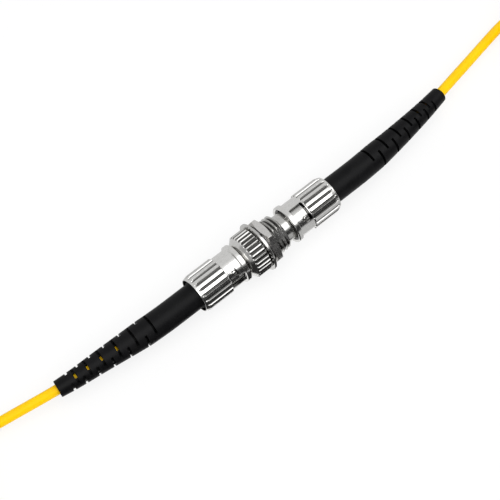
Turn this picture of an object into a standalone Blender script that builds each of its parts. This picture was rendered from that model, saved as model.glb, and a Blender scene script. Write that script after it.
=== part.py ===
"""ST bulkhead adapter with two bayonet plugs locked on, each on a jacketed fibre cord.

The fibre axis lies along X, with the end faces of the two ferrules meeting at the
origin's X. The adapter's flange stands on the surface at Z = 0, and so do the hanks.
Metres throughout. Each plug is drawn along its own axis, from the meeting plane
out to its cord, and then turned to its side.
"""
import math

import bmesh
import bpy
from mathutils import Matrix, Vector

# Driving sizes of the adapter
FLANGE_DIAMETER = 0.0125
FLANGE_THICKNESS = 0.00055
FLANGE_OFFSET = 0.0010
RING_DIAMETER = 0.0110
RING_LENGTH = 0.00345
RING_TEETH = 30
RING_TOOTH_DEPTH = 0.00035
RING_GAP = 0.0002
TOOTH_VALLEY_SHARE = 0.2
CONE_STEP = 0.00035
BARREL_DIAMETER = 0.0070
BARREL_BORE = 0.0054
BARREL_CHAMFER = 0.0003
SLEEVE_STOP_LENGTH = 0.0011
FERRULE_CLEARANCE = 0.0002
SPIGOT_DIAMETER = 0.0060
SPIGOT_LENGTH = 0.00365
THREAD_DIAMETER = 0.0090
THREAD_LENGTH = 0.0059
THREAD_CHAMFER = 0.0004
THREAD_FLATS = 0.0077
LUG_DIAMETER = 0.0010
LUG_SETBACK = 0.00145
LUG_HEIGHT = 0.00075
LUG_ROLL_DEG = 39.0
KEYWAY_WIDTH = 0.0013
KEYWAY_LENGTH = 0.0018
SLEEVE_LENGTH = 0.0114
SLEEVE_WALL = 0.0003
SLEEVE_SLIT = 0.0006

# Driving sizes of the panel nut and its washer
WASHER_THICKNESS = 0.00035
WASHER_WIDTH = 0.0005
WASHER_SLIT_DEG = 10.0
HEX_WALL = 0.0008
HEX_THICKNESS = 0.0019
HEX_CORNER_ROLL_DEG = 17.0
HEX_FACE_INSET = 0.0001
HEX_CHAMFER_DEG = 30.0

# Driving sizes of the coupling nut
NUT_LENGTH = 0.01295
NUT_STANDOFF = 0.0002
NUT_BORE_CLEARANCE = 0.0002
NUT_WALL = 0.00063
LIP_HEIGHT = 0.0005
LIP_LENGTH = 0.00135
SLOTTED_LENGTH = 0.0040
MOUTH_FLARE = 0.00075
MOUTH_DEPTH = 0.00075
GRIP_HEIGHT = 0.00032
FLUTE_RUN_OUT_SHARE = 0.8
GRIP_FLUTES = 20
FLUTE_DEPTH = 0.0003
REAR_CHAMFER = 0.0012
REAR_CHAMFER_HEIGHT = 0.00035
REAR_WALL = 0.0002
WEB_THICKNESS = 0.0007
LUG_BEHIND_FRONT = 0.0035
SLOT_POCKET_DEPTH = 0.00025
SLOT_POCKET_HALF_DEG = 14.0
SLOT_TONGUE_DEG = 5.0
SLOT_LUG_CLEARANCE = 0.00015
TURN_DEG = 40.0
SLOT_END_CLEARANCE_DEG = 5.0
SLOT_CORNER_DEG = 4.0
ENTRY_HALF_DEG = 11.5
ENTRY_CLEARANCE = 0.00025

# Driving sizes of the plug inside the coupling nut
FERRULE_DIAMETER = 0.0025
FERRULE_LENGTH = 0.0140
FERRULE_TIP_CHAMFER = 0.0004
HUB_CLEARANCE = 0.0003
COLLAR_CLEARANCE = 0.0003
COLLAR_THICKNESS = 0.0010
KEY_WIDTH = 0.0009
KEY_LENGTH = 0.0012
STEM_DIAMETER = 0.0040
STEM_END_SETBACK = 0.00025
BUFFER_DIAMETER = 0.0009
CLIP_THICKNESS = 0.0003
CLIP_DIAMETER = 0.0060
CLIP_GROOVE_DEPTH = 0.0003
CLIP_OPENING_DEG = 70.0
CLIP_CLEARANCE = 0.00045
SPRING_WIRE = 0.0005
SPRING_TURNS = 3
SPRING_ROOM = 0.0030
THRUST_THICKNESS = 0.00035
CRIMP_WALL = 0.00033
CRIMP_BODY_LENGTH = 0.0054
CRIMP_NECK_LENGTH = 0.0030
CRIMP_TAPER_LENGTH = 0.0007

# Driving sizes of the boot and of the cord
BOOT_DIAMETER = 0.0064
BOOT_BASE_CLEARANCE = 0.0004
BOOT_END_DIAMETER = 0.0040
BOOT_LENGTH = 0.0369
BOOT_BASE_SETBACK = 0.00125
BOOT_CLIP_DISTANCE = 0.0005
BOOT_FLARE_LENGTH = 0.0017
BOOT_FIRST_SLOT = 0.0124
BOOT_TAPER_START = 0.0145
BOOT_SLOT_WIDTH = 0.0006
BOOT_SLOT_COUNT = 12
BOOT_LAST_PITCH_SHARE = 0.59
BOOT_END_BAND = 0.0032
LEFT_BOOT_ROLL_DEG = 0.0
RIGHT_BOOT_ROLL_DEG = -25.0
CORD_DIAMETER = 0.0024
CORD_CLEARANCE = 0.00018
CORD_STEP = 0.0060
HANK_TURNS_WIDE = 2
HANK_TURNS_HIGH = 4
HANK_RUN = 0.0370
HANK_FOLD_RADIUS = 0.0084
HANK_EDGE = 0.0007

# Clearances that several pieces share
JOINT_GAP = 0.0003
SLIDING_GAP = 0.0002
CLOSE_GAP = 0.0001
WASHER_GAP = 0.00015

# Fineness of the facets
SMOOTH_ANGLE_DEG = 28.0
OUTER_SEGMENTS = 36
BORE_SEGMENTS = 24
PEG_SIDES = 16
SPRING_STEPS = 9
BOOT_SIDES = 16
BOOT_SLOT_SIDES = 5
ROUTE_STEPS = 12

# Places worked out from the sizes above
HEX_ACROSS_FLATS = THREAD_DIAMETER + 2 * HEX_WALL
HEX_FACE_DIAMETER = HEX_ACROSS_FLATS - 2 * HEX_FACE_INSET
HEX_ACROSS_CORNERS = HEX_ACROSS_FLATS / math.cos(math.radians(30))
AXIS_HEIGHT = max(FLANGE_DIAMETER, RING_DIAMETER, HEX_ACROSS_CORNERS) / 2
FLANGE_RIGHT = -FLANGE_OFFSET
FLANGE_LEFT = FLANGE_RIGHT - FLANGE_THICKNESS
RING_RIGHT = FLANGE_LEFT - RING_GAP
RING_LEFT = RING_RIGHT - RING_LENGTH
CONE_END_DIAMETER = BARREL_DIAMETER + 2 * CONE_STEP
CONE_LEFT = RING_LEFT - (RING_DIAMETER - CONE_END_DIAMETER) / 2
NUT_FRONT = NUT_STANDOFF - CONE_LEFT
LUG_REACH = NUT_FRONT + LUG_BEHIND_FRONT
BARREL_REACH = LUG_REACH + LUG_SETBACK
FERRULE_HOLE = FERRULE_DIAMETER + 2 * FERRULE_CLEARANCE
SLEEVE_BORE = FERRULE_DIAMETER + 2 * SLEEVE_WALL + 4 * CLOSE_GAP
SLEEVE_SEAT = SLEEVE_LENGTH / 2 + SLIDING_GAP
BORE_FLOOR = SLEEVE_SEAT + SLEEVE_STOP_LENGTH
LUG_ROLL = math.radians(LUG_ROLL_DEG)
LUG_TOP_RADIUS = BARREL_DIAMETER / 2 + LUG_HEIGHT
KEY_ROLL = LUG_ROLL + math.pi / 2
NUT_BORE = BARREL_DIAMETER + 2 * NUT_BORE_CLEARANCE
NUT_BODY_DIAMETER = NUT_BORE + 2 * NUT_WALL
LIP_DIAMETER = NUT_BODY_DIAMETER + 2 * LIP_HEIGHT
MOUTH_DIAMETER = NUT_BORE + 2 * MOUTH_FLARE
GRIP_DIAMETER = NUT_BODY_DIAMETER + 2 * GRIP_HEIGHT
REAR_RIM_DIAMETER = GRIP_DIAMETER - 2 * REAR_CHAMFER_HEIGHT
RECESS_DIAMETER = REAR_RIM_DIAMETER - 2 * REAR_WALL
WEB_HOLE = STEM_DIAMETER + 2 * JOINT_GAP
COLLAR_DIAMETER = NUT_BORE - 2 * COLLAR_CLEARANCE
SPRING_DIAMETER = (NUT_BORE + STEM_DIAMETER) / 2
BOOT_BASE_DIAMETER = RECESS_DIAMETER - 2 * BOOT_BASE_CLEARANCE
NUT_REAR = NUT_FRONT + NUT_LENGTH
LIP_REAR = NUT_FRONT + LIP_LENGTH
GRIP_FRONT = LIP_REAR + SLOTTED_LENGTH
GRIP_REAR = NUT_REAR - REAR_CHAMFER
COLLAR_FRONT = BARREL_REACH + JOINT_GAP
COLLAR_REAR = COLLAR_FRONT + COLLAR_THICKNESS
THRUST_FRONT = COLLAR_REAR + SPRING_ROOM
THRUST_REAR = THRUST_FRONT + THRUST_THICKNESS
WEB_FRONT = THRUST_REAR + WASHER_GAP
WEB_REAR = WEB_FRONT + WEB_THICKNESS
CLIP_FRONT = WEB_REAR + CLIP_CLEARANCE
CLIP_REAR = CLIP_FRONT + CLIP_THICKNESS
FERRULE_FRONT = JOINT_GAP / 2
FERRULE_REAR = FERRULE_FRONT + FERRULE_LENGTH
BOOT_FRONT = CLIP_REAR + BOOT_CLIP_DISTANCE
ROUTE_ZERO = BOOT_FRONT + BOOT_BASE_SETBACK
CRIMP_FRONT = BOOT_FRONT + CLOSE_GAP
CRIMP_STEP = CRIMP_FRONT + CRIMP_BODY_LENGTH
STEM_REAR = CRIMP_STEP - STEM_END_SETBACK
CRIMP_REAR = CRIMP_STEP + CRIMP_TAPER_LENGTH + CRIMP_NECK_LENGTH
CORD_START = STEM_REAR + JOINT_GAP
CORD_RADIUS = CORD_DIAMETER / 2

# Route of each cord, chosen by hand: distance behind the place where the boot comes
# out of the coupling nut, sideways place, and the share of the drop that is done.
LEFT_ROUTE = [
    (-0.0020, 0.0, 0.0), (0.0020, 0.0, 0.0), (0.0060, 0.0, 0.0),
    (0.0100, 0.00006, 0.0), (0.0150, 0.00032, 0.004), (0.0200, 0.00070, 0.012),
    (0.0260, 0.00120, 0.032), (0.0320, 0.00166, 0.075), (0.0370, 0.00232, 0.14),
    (0.0420, 0.00318, 0.23), (0.0470, 0.00412, 0.33), (0.0520, 0.00510, 0.46),
    (0.0570, 0.00620, 0.69), (0.0610, 0.00705, 0.89), (0.0650, 0.00793, 1.0),
]
RIGHT_ROUTE = [
    (-0.0020, 0.0, 0.0), (0.0020, 0.0, 0.0), (0.0060, 0.0, 0.0),
    (0.0100, 0.00006, 0.0), (0.0150, 0.00032, 0.004), (0.0200, 0.00070, 0.012),
    (0.0260, 0.00132, 0.035), (0.0320, 0.00212, 0.085), (0.0380, 0.00320, 0.17),
    (0.0440, 0.00445, 0.28), (0.0500, 0.00572, 0.41), (0.0560, 0.00705, 0.56),
    (0.0600, 0.00786, 0.70), (0.0640, 0.00849, 0.89), (0.0680, 0.00893, 1.0),
]


def clear_scene():
    """Empty the file of objects."""
    for old in list(bpy.data.objects):
        bpy.data.objects.remove(old, do_unlink=True)


def material(name, color, roughness, metallic):
    """A plain shader in the piece's colour."""
    made = bpy.data.materials.get(name)
    if made:
        return made
    made = bpy.data.materials.new(name)
    made.use_nodes = True
    shader = made.node_tree.nodes["Principled BSDF"]
    shader.inputs["Base Color"].default_value = (*color, 1.0)
    shader.inputs["Roughness"].default_value = roughness
    shader.inputs["Metallic"].default_value = metallic
    made.diffuse_color = (*color, 1.0)
    return made


def nickel():
    return material("bright_nickel", (0.62, 0.61, 0.59), 0.22, 1.0)


def spring_steel():
    return material("spring_steel", (0.45, 0.45, 0.46), 0.35, 1.0)


def ceramic():
    return material("white_ceramic", (0.86, 0.85, 0.82), 0.25, 0.0)


def black_rubber():
    return material("black_rubber", (0.012, 0.012, 0.013), 0.5, 0.0)


def yellow_jacket():
    return material("yellow_jacket", (0.95, 0.58, 0.005), 0.45, 0.0)


def clear_buffer():
    return material("buffer_coating", (0.85, 0.83, 0.75), 0.4, 0.0)


def add_object(name, mesh, finish):
    """Link a mesh as a named piece, smooth where its facets bend little."""
    mesh.name = name
    mesh.materials.append(finish)
    mesh.shade_smooth()
    mesh.set_sharp_from_angle(angle=math.radians(SMOOTH_ANGLE_DEG))
    piece = bpy.data.objects.new(name, mesh)
    bpy.context.scene.collection.objects.link(piece)
    return piece


def mesh_from(vertices, faces):
    """One closed mesh with its faces pointing out."""
    mesh = bpy.data.meshes.new("mesh")
    mesh.from_pydata(vertices, [], faces)
    shape = bmesh.new()
    shape.from_mesh(mesh)
    bmesh.ops.recalc_face_normals(shape, faces=shape.faces)
    shape.to_mesh(mesh)
    shape.free()
    return mesh


def turned(rings, segments, opening_deg=0.0, solid=False):
    """Turn a profile round the X axis. Each ring is (x, radius), or a function of
    the roll angle that returns it. The rings close on themselves like a pipe's
    wall, or with solid set they end in two flat faces. An opening leaves a slit."""
    slit = math.radians(opening_deg)
    count = segments + 1 if slit else segments
    columns = []
    for step in range(count):
        roll = slit / 2 + (2 * math.pi - slit) * step / segments
        column = []
        for ring in rings:
            x, radius = ring(roll) if callable(ring) else ring
            column.append((x, -radius * math.sin(roll), radius * math.cos(roll)))
        columns.append(column)
    size = len(rings)
    vertices = [point for column in columns for point in column]
    faces = []
    steps = size - 1 if solid else size
    for step in range(segments):
        here = step * size
        there = (step + 1) % count * size
        for ring in range(steps):
            after = (ring + 1) % size
            faces.append((here + ring, here + after, there + after, there + ring))
    if solid:
        faces.append([step * size for step in range(count)])
        faces.append([step * size + size - 1 for step in range(count)])
    if slit:
        faces.append(list(range(size)))
        faces.append([segments * size + ring for ring in range(size)])
    return mesh_from(vertices, faces)


def place_on_axis(piece, side=1):
    """Seat a piece drawn along +X on the fibre axis, turned to its side."""
    turn = Matrix.Rotation(math.pi if side < 0 else 0.0, 4, "Z")
    piece.matrix_world = Matrix.Translation((0.0, 0.0, AXIS_HEIGHT)) @ turn


def cutter(name, mesh, target, operation, side=1):
    """A hidden guide that cuts, or adds to, a piece."""
    guide = bpy.data.objects.new(name, mesh)
    bpy.context.scene.collection.objects.link(guide)
    guide.hide_render = True
    guide.display_type = "WIRE"
    place_on_axis(guide, side)
    change = target.modifiers.new(name, "BOOLEAN")
    change.operation = operation
    change.object = guide
    change.solver = "EXACT"
    return guide


def box_mesh(low, high, roll=0.0):
    """A box from corner to corner, rolled about the X axis."""
    corners = [(x, y, z) for x in (low[0], high[0]) for y in (low[1], high[1]) for z in (low[2], high[2])]
    turn = Matrix.Rotation(roll, 3, "X")
    vertices = [turn @ Vector(corner) for corner in corners]
    faces = [(0, 1, 3, 2), (4, 6, 7, 5), (0, 4, 5, 1), (2, 3, 7, 6), (0, 2, 6, 4), (1, 5, 7, 3)]
    return mesh_from(vertices, faces)


def peg_mesh(x, radius, bottom, top, roll):
    """A round peg that stands out from the axis at x, rolled about X."""
    turn = Matrix.Rotation(roll, 3, "X")
    sides = PEG_SIDES
    vertices = []
    for height in (bottom, top):
        for step in range(sides):
            angle = 2 * math.pi * step / sides
            point = Vector((x + radius * math.cos(angle), radius * math.sin(angle), height))
            vertices.append(turn @ point)
    faces = [list(range(sides)), list(range(sides, 2 * sides))]
    for step in range(sides):
        after = (step + 1) % sides
        faces.append((step, after, sides + after, sides + step))
    return mesh_from(vertices, faces)


def radial_prism(outline, inner, outer):
    """A closed prism between two radii whose outline is a list of (roll, x)."""
    count = len(outline)
    vertices = []
    for radius in (inner, outer):
        for roll, x in outline:
            vertices.append((x, -radius * math.sin(roll), radius * math.cos(roll)))
    faces = [list(range(count)), list(range(count, 2 * count))]
    for step in range(count):
        after = (step + 1) % count
        faces.append((step, after, count + after, count + step))
    mesh = mesh_from(vertices, faces)
    shape = bmesh.new()
    shape.from_mesh(mesh)
    bmesh.ops.triangulate(shape, faces=[face for face in shape.faces if len(face.verts) > 4])
    bmesh.ops.recalc_face_normals(shape, faces=shape.faces)
    shape.to_mesh(mesh)
    shape.free()
    return mesh


def toothed(x, radius, depth, teeth, slope=0.0):
    """A ring of a straight knurl: it dips by depth between two teeth.
    With a slope the dip also moves along the axis, as on a turned cone."""
    def ring(roll):
        share = roll * teeth / (2 * math.pi) % 1.0
        dip = depth if min(share, 1.0 - share) < TOOTH_VALLEY_SHARE else 0.0
        return (x + slope * dip, radius - dip)
    return ring


def bore_out(piece, rings, side=1):
    """Bore a piece along the axis with a turned cutter."""
    mesh = turned(rings, BORE_SEGMENTS, solid=True)
    return cutter(f"guide_{piece.name}_bore", mesh, piece, "DIFFERENCE", side)


def finish_barrel(body, side, inner_end):
    """Bore one half of the adapter from its barrel's mouth to its inner end, cast
    two lugs on the barrel, and cut the slot that takes the plug's key."""
    label = "left" if side < 0 else "right"
    bore_out(body, [
        (side * (BARREL_REACH + JOINT_GAP), BARREL_BORE / 2),
        (side * BORE_FLOOR, BARREL_BORE / 2),
        (side * BORE_FLOOR, FERRULE_HOLE / 2),
        (side * SLEEVE_SEAT, FERRULE_HOLE / 2),
        (side * SLEEVE_SEAT, SLEEVE_BORE / 2),
        (inner_end - side * JOINT_GAP, SLEEVE_BORE / 2),
    ])
    for number, roll in enumerate((LUG_ROLL, LUG_ROLL + math.pi)):
        peg = peg_mesh(side * LUG_REACH, LUG_DIAMETER / 2, BARREL_DIAMETER / 2 - LUG_HEIGHT / 2,
                       LUG_TOP_RADIUS, roll)
        cutter(f"guide_{label}_lug_{number}", peg, body, "UNION")
    ends = sorted((side * (BARREL_REACH - KEYWAY_LENGTH), side * (BARREL_REACH + JOINT_GAP)))
    slot = box_mesh((ends[0], -KEYWAY_WIDTH / 2, BARREL_BORE / 2 - JOINT_GAP),
                    (ends[1], KEYWAY_WIDTH / 2, BARREL_DIAMETER / 2 + JOINT_GAP), KEY_ROLL)
    cutter(f"guide_{label}_keyway", slot, body, "DIFFERENCE")


def barrel_end(side):
    """Last rings of a barrel's outside: its chamfered mouth."""
    outer = BARREL_DIAMETER / 2
    return [
        (side * (BARREL_REACH - BARREL_CHAMFER), outer),
        (side * BARREL_REACH, outer - BARREL_CHAMFER),
    ]


def make_threaded_body():
    """Flange, thread, right barrel and the spigot that the other half sits on."""
    spigot_left = FLANGE_LEFT - SPIGOT_LENGTH
    thread_right = FLANGE_RIGHT + THREAD_LENGTH
    edge = CLOSE_GAP
    flange = FLANGE_DIAMETER / 2
    thread = THREAD_DIAMETER / 2
    rings = [
        (spigot_left, SPIGOT_DIAMETER / 2),
        (FLANGE_LEFT, SPIGOT_DIAMETER / 2),
        (FLANGE_LEFT, flange),
        (FLANGE_RIGHT, flange),
        (FLANGE_RIGHT, thread),
        (thread_right - THREAD_CHAMFER, thread),
        (thread_right, thread - THREAD_CHAMFER),
        (thread_right, BARREL_DIAMETER / 2),
    ]
    rings += barrel_end(1)
    body = add_object("adapter_threaded_body", turned(rings, OUTER_SEGMENTS, solid=True), nickel())
    place_on_axis(body)
    for number, roll in enumerate((LUG_ROLL, LUG_ROLL + math.pi)):
        flat = box_mesh((FLANGE_RIGHT + edge, -thread, THREAD_FLATS / 2),
                        (thread_right + edge, thread, thread + edge), roll)
        cutter(f"guide_flat_{number}", flat, body, "DIFFERENCE")
    finish_barrel(body, 1, spigot_left)


def make_knurled_body():
    """Knurled ring with its cone, and the left barrel."""
    ring = RING_DIAMETER / 2
    cone = CONE_END_DIAMETER / 2
    spigot = SPIGOT_DIAMETER / 2 + CLOSE_GAP
    socket_floor = FLANGE_LEFT - SPIGOT_LENGTH - SLIDING_GAP
    bevel = RING_TOOTH_DEPTH
    rings = [
        (RING_RIGHT, ring - bevel),
        toothed(RING_RIGHT - bevel / 2, ring, RING_TOOTH_DEPTH, RING_TEETH, 0.5),
        toothed(RING_LEFT, ring, RING_TOOTH_DEPTH, RING_TEETH, -1.0),
        (CONE_LEFT, cone),
        (CONE_LEFT, BARREL_DIAMETER / 2),
    ]
    rings += barrel_end(-1)
    body = add_object("adapter_knurled_body", turned(rings, 2 * RING_TEETH, solid=True), nickel())
    place_on_axis(body)
    finish_barrel(body, -1, RING_RIGHT)
    socket = turned([(socket_floor, spigot), (RING_RIGHT + JOINT_GAP, spigot)], BORE_SEGMENTS, solid=True)
    cutter("guide_socket", socket, body, "DIFFERENCE")


def make_sleeve():
    """Split ceramic sleeve that lines the two ferrules up."""
    inner = FERRULE_DIAMETER / 2 + CLOSE_GAP
    outer = inner + SLEEVE_WALL
    half = SLEEVE_LENGTH / 2
    rings = [(-half, inner), (-half, outer), (half, outer), (half, inner)]
    opening = math.degrees(SLEEVE_SLIT / inner)
    sleeve = add_object("alignment_sleeve", turned(rings, 18, opening), ceramic())
    place_on_axis(sleeve)


def make_lock_washer():
    """Split spring washer between the flange and the hex nut."""
    inner = THREAD_DIAMETER / 2 + WASHER_GAP
    outer = inner + WASHER_WIDTH
    left = FLANGE_RIGHT + WASHER_GAP
    right = left + WASHER_THICKNESS
    rings = [(left, inner), (left, outer), (right, outer), (right, inner)]
    washer = add_object("panel_lock_washer", turned(rings, BORE_SEGMENTS, WASHER_SLIT_DEG), spring_steel())
    place_on_axis(washer)


def make_hex_nut():
    """Thin hex nut with both faces turned to a chamfer."""
    left = FLANGE_RIGHT + 2 * WASHER_GAP + WASHER_THICKNESS
    right = left + HEX_THICKNESS
    bore = THREAD_DIAMETER / 2 + WASHER_GAP
    face = HEX_FACE_DIAMETER / 2
    slope = math.tan(math.radians(HEX_CHAMFER_DEG))
    corner = math.radians(HEX_CORNER_ROLL_DEG)

    def edge(x, direction):
        def ring(roll):
            turn = (roll - math.radians(30)) % math.radians(60) - math.radians(30)
            radius = HEX_ACROSS_FLATS / 2 / math.cos(turn)
            return (x + direction * slope * (radius - face), radius)
        return ring

    rings = [
        (left, bore), (left, face), edge(left, 1),
        edge(right, -1), (right, face), (right, bore),
    ]
    mesh = turned(rings, OUTER_SEGMENTS)
    mesh.transform(Matrix.Rotation(corner + math.radians(30), 4, "X"))
    nut = add_object("panel_hex_nut", mesh, nickel())
    place_on_axis(nut)


def slot_outline(roll, front, rear):
    """Outline of one bayonet slot: a wide window, and beside it, past a tongue, the
    rounded pocket where the lug rests."""
    crest = LUG_REACH - LUG_DIAMETER / 2 - SLOT_LUG_CLEARANCE
    half = math.radians(SLOT_POCKET_HALF_DEG)
    tongue = math.radians(SLOT_POCKET_HALF_DEG + SLOT_TONGUE_DEG)
    lug_half = LUG_DIAMETER / NUT_BORE
    far = math.radians(TURN_DEG + SLOT_END_CLEARANCE_DEG) + lug_half
    corner = math.radians(SLOT_CORNER_DEG)
    corner_x = corner * NUT_BORE / 2
    outline = [(half, rear)]
    pocket_steps = 8
    for step in range(pocket_steps + 1):
        angle = math.pi * step / pocket_steps
        depth = SLOT_POCKET_DEPTH * math.sin(angle)
        outline.append((half * math.cos(angle), crest - depth))
    outline += [
        (-tongue + corner / 2, crest), (-tongue, crest - corner_x / 2), (-tongue, front),
        (-far + corner, front), (-far, front + corner_x),
        (-far, rear - corner_x), (-far + corner, rear),
    ]
    rear_steps = 4
    across = [-far + (half + far) * step / rear_steps for step in range(1, rear_steps)]
    return [(roll + angle, x) for angle, x in outline + [(angle, rear) for angle in across]]


def entry_outline(roll):
    """Outline of the hidden groove that lets a lug in behind the lip."""
    centre = roll - math.radians(TURN_DEG)
    half = math.radians(ENTRY_HALF_DEG)
    front = NUT_FRONT - SLIDING_GAP
    rear = LIP_REAR + SLIDING_GAP
    steps = 4
    across = [centre - half + 2 * half * step / steps for step in range(steps + 1)]
    return [(angle, front) for angle in across] + [(angle, rear) for angle in reversed(across)]


def make_coupling_nut(label, side):
    """Bayonet nut: bell mouth and lip, slotted body, fluted grip, inner web."""
    lip = LIP_DIAMETER / 2
    body = NUT_BODY_DIAMETER / 2
    grip = GRIP_DIAMETER / 2
    edge = SLIDING_GAP
    rim = REAR_RIM_DIAMETER / 2
    run_out = REAR_CHAMFER / (grip - rim) * FLUTE_RUN_OUT_SHARE
    rings = [
        (NUT_FRONT, lip - edge),
        (NUT_FRONT + edge, lip),
        (LIP_REAR - edge, lip),
        (LIP_REAR, body),
        (GRIP_FRONT - edge, body),
        toothed(GRIP_FRONT, grip, FLUTE_DEPTH, GRIP_FLUTES),
        toothed(GRIP_REAR, grip, FLUTE_DEPTH, GRIP_FLUTES, run_out),
        (NUT_REAR, rim),
    ]
    nut = add_object(f"{label}_coupling_nut", turned(rings, 3 * GRIP_FLUTES, solid=True), nickel())
    place_on_axis(nut, side)
    mouth_slope = (MOUTH_DIAMETER - NUT_BORE) / 2 / MOUTH_DEPTH
    bore_out(nut, [
        (NUT_FRONT - JOINT_GAP, MOUTH_DIAMETER / 2 + JOINT_GAP * mouth_slope),
        (NUT_FRONT + MOUTH_DEPTH, NUT_BORE / 2),
        (WEB_FRONT, NUT_BORE / 2),
        (WEB_FRONT, WEB_HOLE / 2),
        (WEB_REAR, WEB_HOLE / 2),
        (WEB_REAR, RECESS_DIAMETER / 2),
        (NUT_REAR + JOINT_GAP, RECESS_DIAMETER / 2),
    ], side)
    slot_front = LIP_REAR + CLOSE_GAP
    slot_rear = GRIP_FRONT - edge - CLOSE_GAP
    inner = NUT_BORE / 2 - JOINT_GAP
    for number, turn in enumerate((0.0, math.pi)):
        roll = side * LUG_ROLL + turn
        window = radial_prism(slot_outline(roll, slot_front, slot_rear), inner, GRIP_DIAMETER)
        cutter(f"guide_{label}_slot_{number}", window, nut, "DIFFERENCE", side)
        groove = radial_prism(entry_outline(roll), inner, LUG_TOP_RADIUS + ENTRY_CLEARANCE)
        cutter(f"guide_{label}_entry_{number}", groove, nut, "DIFFERENCE", side)


def make_plug_body(label, side):
    """Turned hub, collar and stem in one, with the key that finds the keyway."""
    hub = BARREL_BORE / 2 - HUB_CLEARANCE
    bore = FERRULE_DIAMETER / 2 + CLOSE_GAP
    stem = STEM_DIAMETER / 2
    groove = stem - CLIP_GROOVE_DEPTH
    groove_front = CLIP_FRONT - CLOSE_GAP
    groove_rear = CLIP_FRONT + CLIP_THICKNESS + CLOSE_GAP
    hub_front = BORE_FLOOR + JOINT_GAP
    buffer_bore = BUFFER_DIAMETER / 2 + CLOSE_GAP
    rings = [
        (hub_front, hub - CLOSE_GAP * 2),
        (hub_front + CLOSE_GAP * 2, hub),
        (COLLAR_FRONT, hub),
        (COLLAR_FRONT, COLLAR_DIAMETER / 2),
        (COLLAR_REAR, COLLAR_DIAMETER / 2),
        (COLLAR_REAR, stem),
        (groove_front, stem),
        (groove_front, groove),
        (groove_rear, groove),
        (groove_rear, stem),
        (STEM_REAR, stem),
        (STEM_REAR, buffer_bore),
        (FERRULE_REAR + CLOSE_GAP, buffer_bore),
        (FERRULE_REAR + CLOSE_GAP, bore),
        (hub_front, bore),
    ]
    body = add_object(f"{label}_plug_body", turned(rings, 18), nickel())
    place_on_axis(body, side)
    key_front = BARREL_REACH - KEY_LENGTH
    key = box_mesh((key_front, -KEY_WIDTH / 2, hub - CLOSE_GAP * 2),
                   (COLLAR_FRONT + CLOSE_GAP, KEY_WIDTH / 2, BARREL_DIAMETER / 2 - SLIDING_GAP),
                   side * KEY_ROLL)
    cutter(f"guide_{label}_key", key, body, "UNION", side)


def make_ferrule(label, side):
    """Ceramic ferrule with a chamfered tip."""
    radius = FERRULE_DIAMETER / 2
    rings = [
        (FERRULE_FRONT, radius - FERRULE_TIP_CHAMFER),
        (FERRULE_FRONT + FERRULE_TIP_CHAMFER, radius),
        (FERRULE_REAR, radius),
    ]
    ferrule = add_object(f"{label}_ferrule", turned(rings, 18, solid=True), ceramic())
    place_on_axis(ferrule, side)


def make_fibre_buffer(label, side):
    """Coated fibre between the ferrule and the jacketed cord."""
    radius = BUFFER_DIAMETER / 2
    rings = [(FERRULE_REAR + JOINT_GAP, radius), (STEM_REAR, radius)]
    fibre = add_object(f"{label}_fibre_buffer", turned(rings, 8, solid=True), clear_buffer())
    place_on_axis(fibre, side)


def make_thrust_washer(label, side):
    """Washer that the spring bears on, so that the nut turns without winding it."""
    inner = (SPRING_DIAMETER - SPRING_WIRE) / 2 - SLIDING_GAP
    outer = NUT_BORE / 2 - SLIDING_GAP
    rings = [(THRUST_FRONT, inner), (THRUST_FRONT, outer), (THRUST_REAR, outer), (THRUST_REAR, inner)]
    washer = add_object(f"{label}_thrust_washer", turned(rings, 16), spring_steel())
    place_on_axis(washer, side)


def make_retaining_clip(label, side):
    """Open ring snapped into the stem's groove, which keeps the nut on."""
    inner = STEM_DIAMETER / 2 - CLIP_GROOVE_DEPTH + CLOSE_GAP
    rear = CLIP_FRONT + CLIP_THICKNESS
    outer = CLIP_DIAMETER / 2
    rings = [(CLIP_FRONT, inner), (CLIP_FRONT, outer), (rear, outer), (rear, inner)]
    clip = add_object(f"{label}_retaining_clip", turned(rings, 12, CLIP_OPENING_DEG), spring_steel())
    place_on_axis(clip, side)


def make_spring(label, side):
    """Compression spring between the plug's collar and the thrust washer."""
    margin = SPRING_WIRE / 2 + SLIDING_GAP
    front = COLLAR_REAR + margin
    rear = THRUST_FRONT - margin
    total = SPRING_TURNS * SPRING_STEPS
    curve = bpy.data.curves.new(f"{label}_coupling_spring", "CURVE")
    curve.dimensions = "3D"
    curve.bevel_depth = SPRING_WIRE / 2
    curve.bevel_resolution = 1
    curve.use_fill_caps = True
    spline = curve.splines.new("POLY")
    spline.points.add(total)
    for step in range(total + 1):
        angle = 2 * math.pi * step / SPRING_STEPS
        x = front + (rear - front) * step / total
        y = SPRING_DIAMETER / 2 * math.sin(angle)
        z = SPRING_DIAMETER / 2 * math.cos(angle)
        spline.points[step].co = (x, y, z, 1.0)
    curve.materials.append(spring_steel())
    spring = bpy.data.objects.new(f"{label}_coupling_spring", curve)
    bpy.context.scene.collection.objects.link(spring)
    place_on_axis(spring, side)


def make_crimp_sleeve(label, side):
    """Stepped sleeve: its body grips the stem, its neck grips the jacket."""
    inner = STEM_DIAMETER / 2 + CLOSE_GAP
    neck = CORD_RADIUS + CLOSE_GAP
    neck_front = CRIMP_STEP + CRIMP_TAPER_LENGTH
    rings = [
        (CRIMP_FRONT, inner),
        (CRIMP_FRONT, inner + CRIMP_WALL),
        (CRIMP_STEP, inner + CRIMP_WALL),
        (neck_front, neck + CRIMP_WALL),
        (CRIMP_REAR, neck + CRIMP_WALL),
        (CRIMP_REAR, neck),
        (neck_front, neck),
        (CRIMP_STEP, inner),
    ]
    sleeve = add_object(f"{label}_crimp_sleeve", turned(rings, 16), nickel())
    place_on_axis(sleeve, side)


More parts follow.
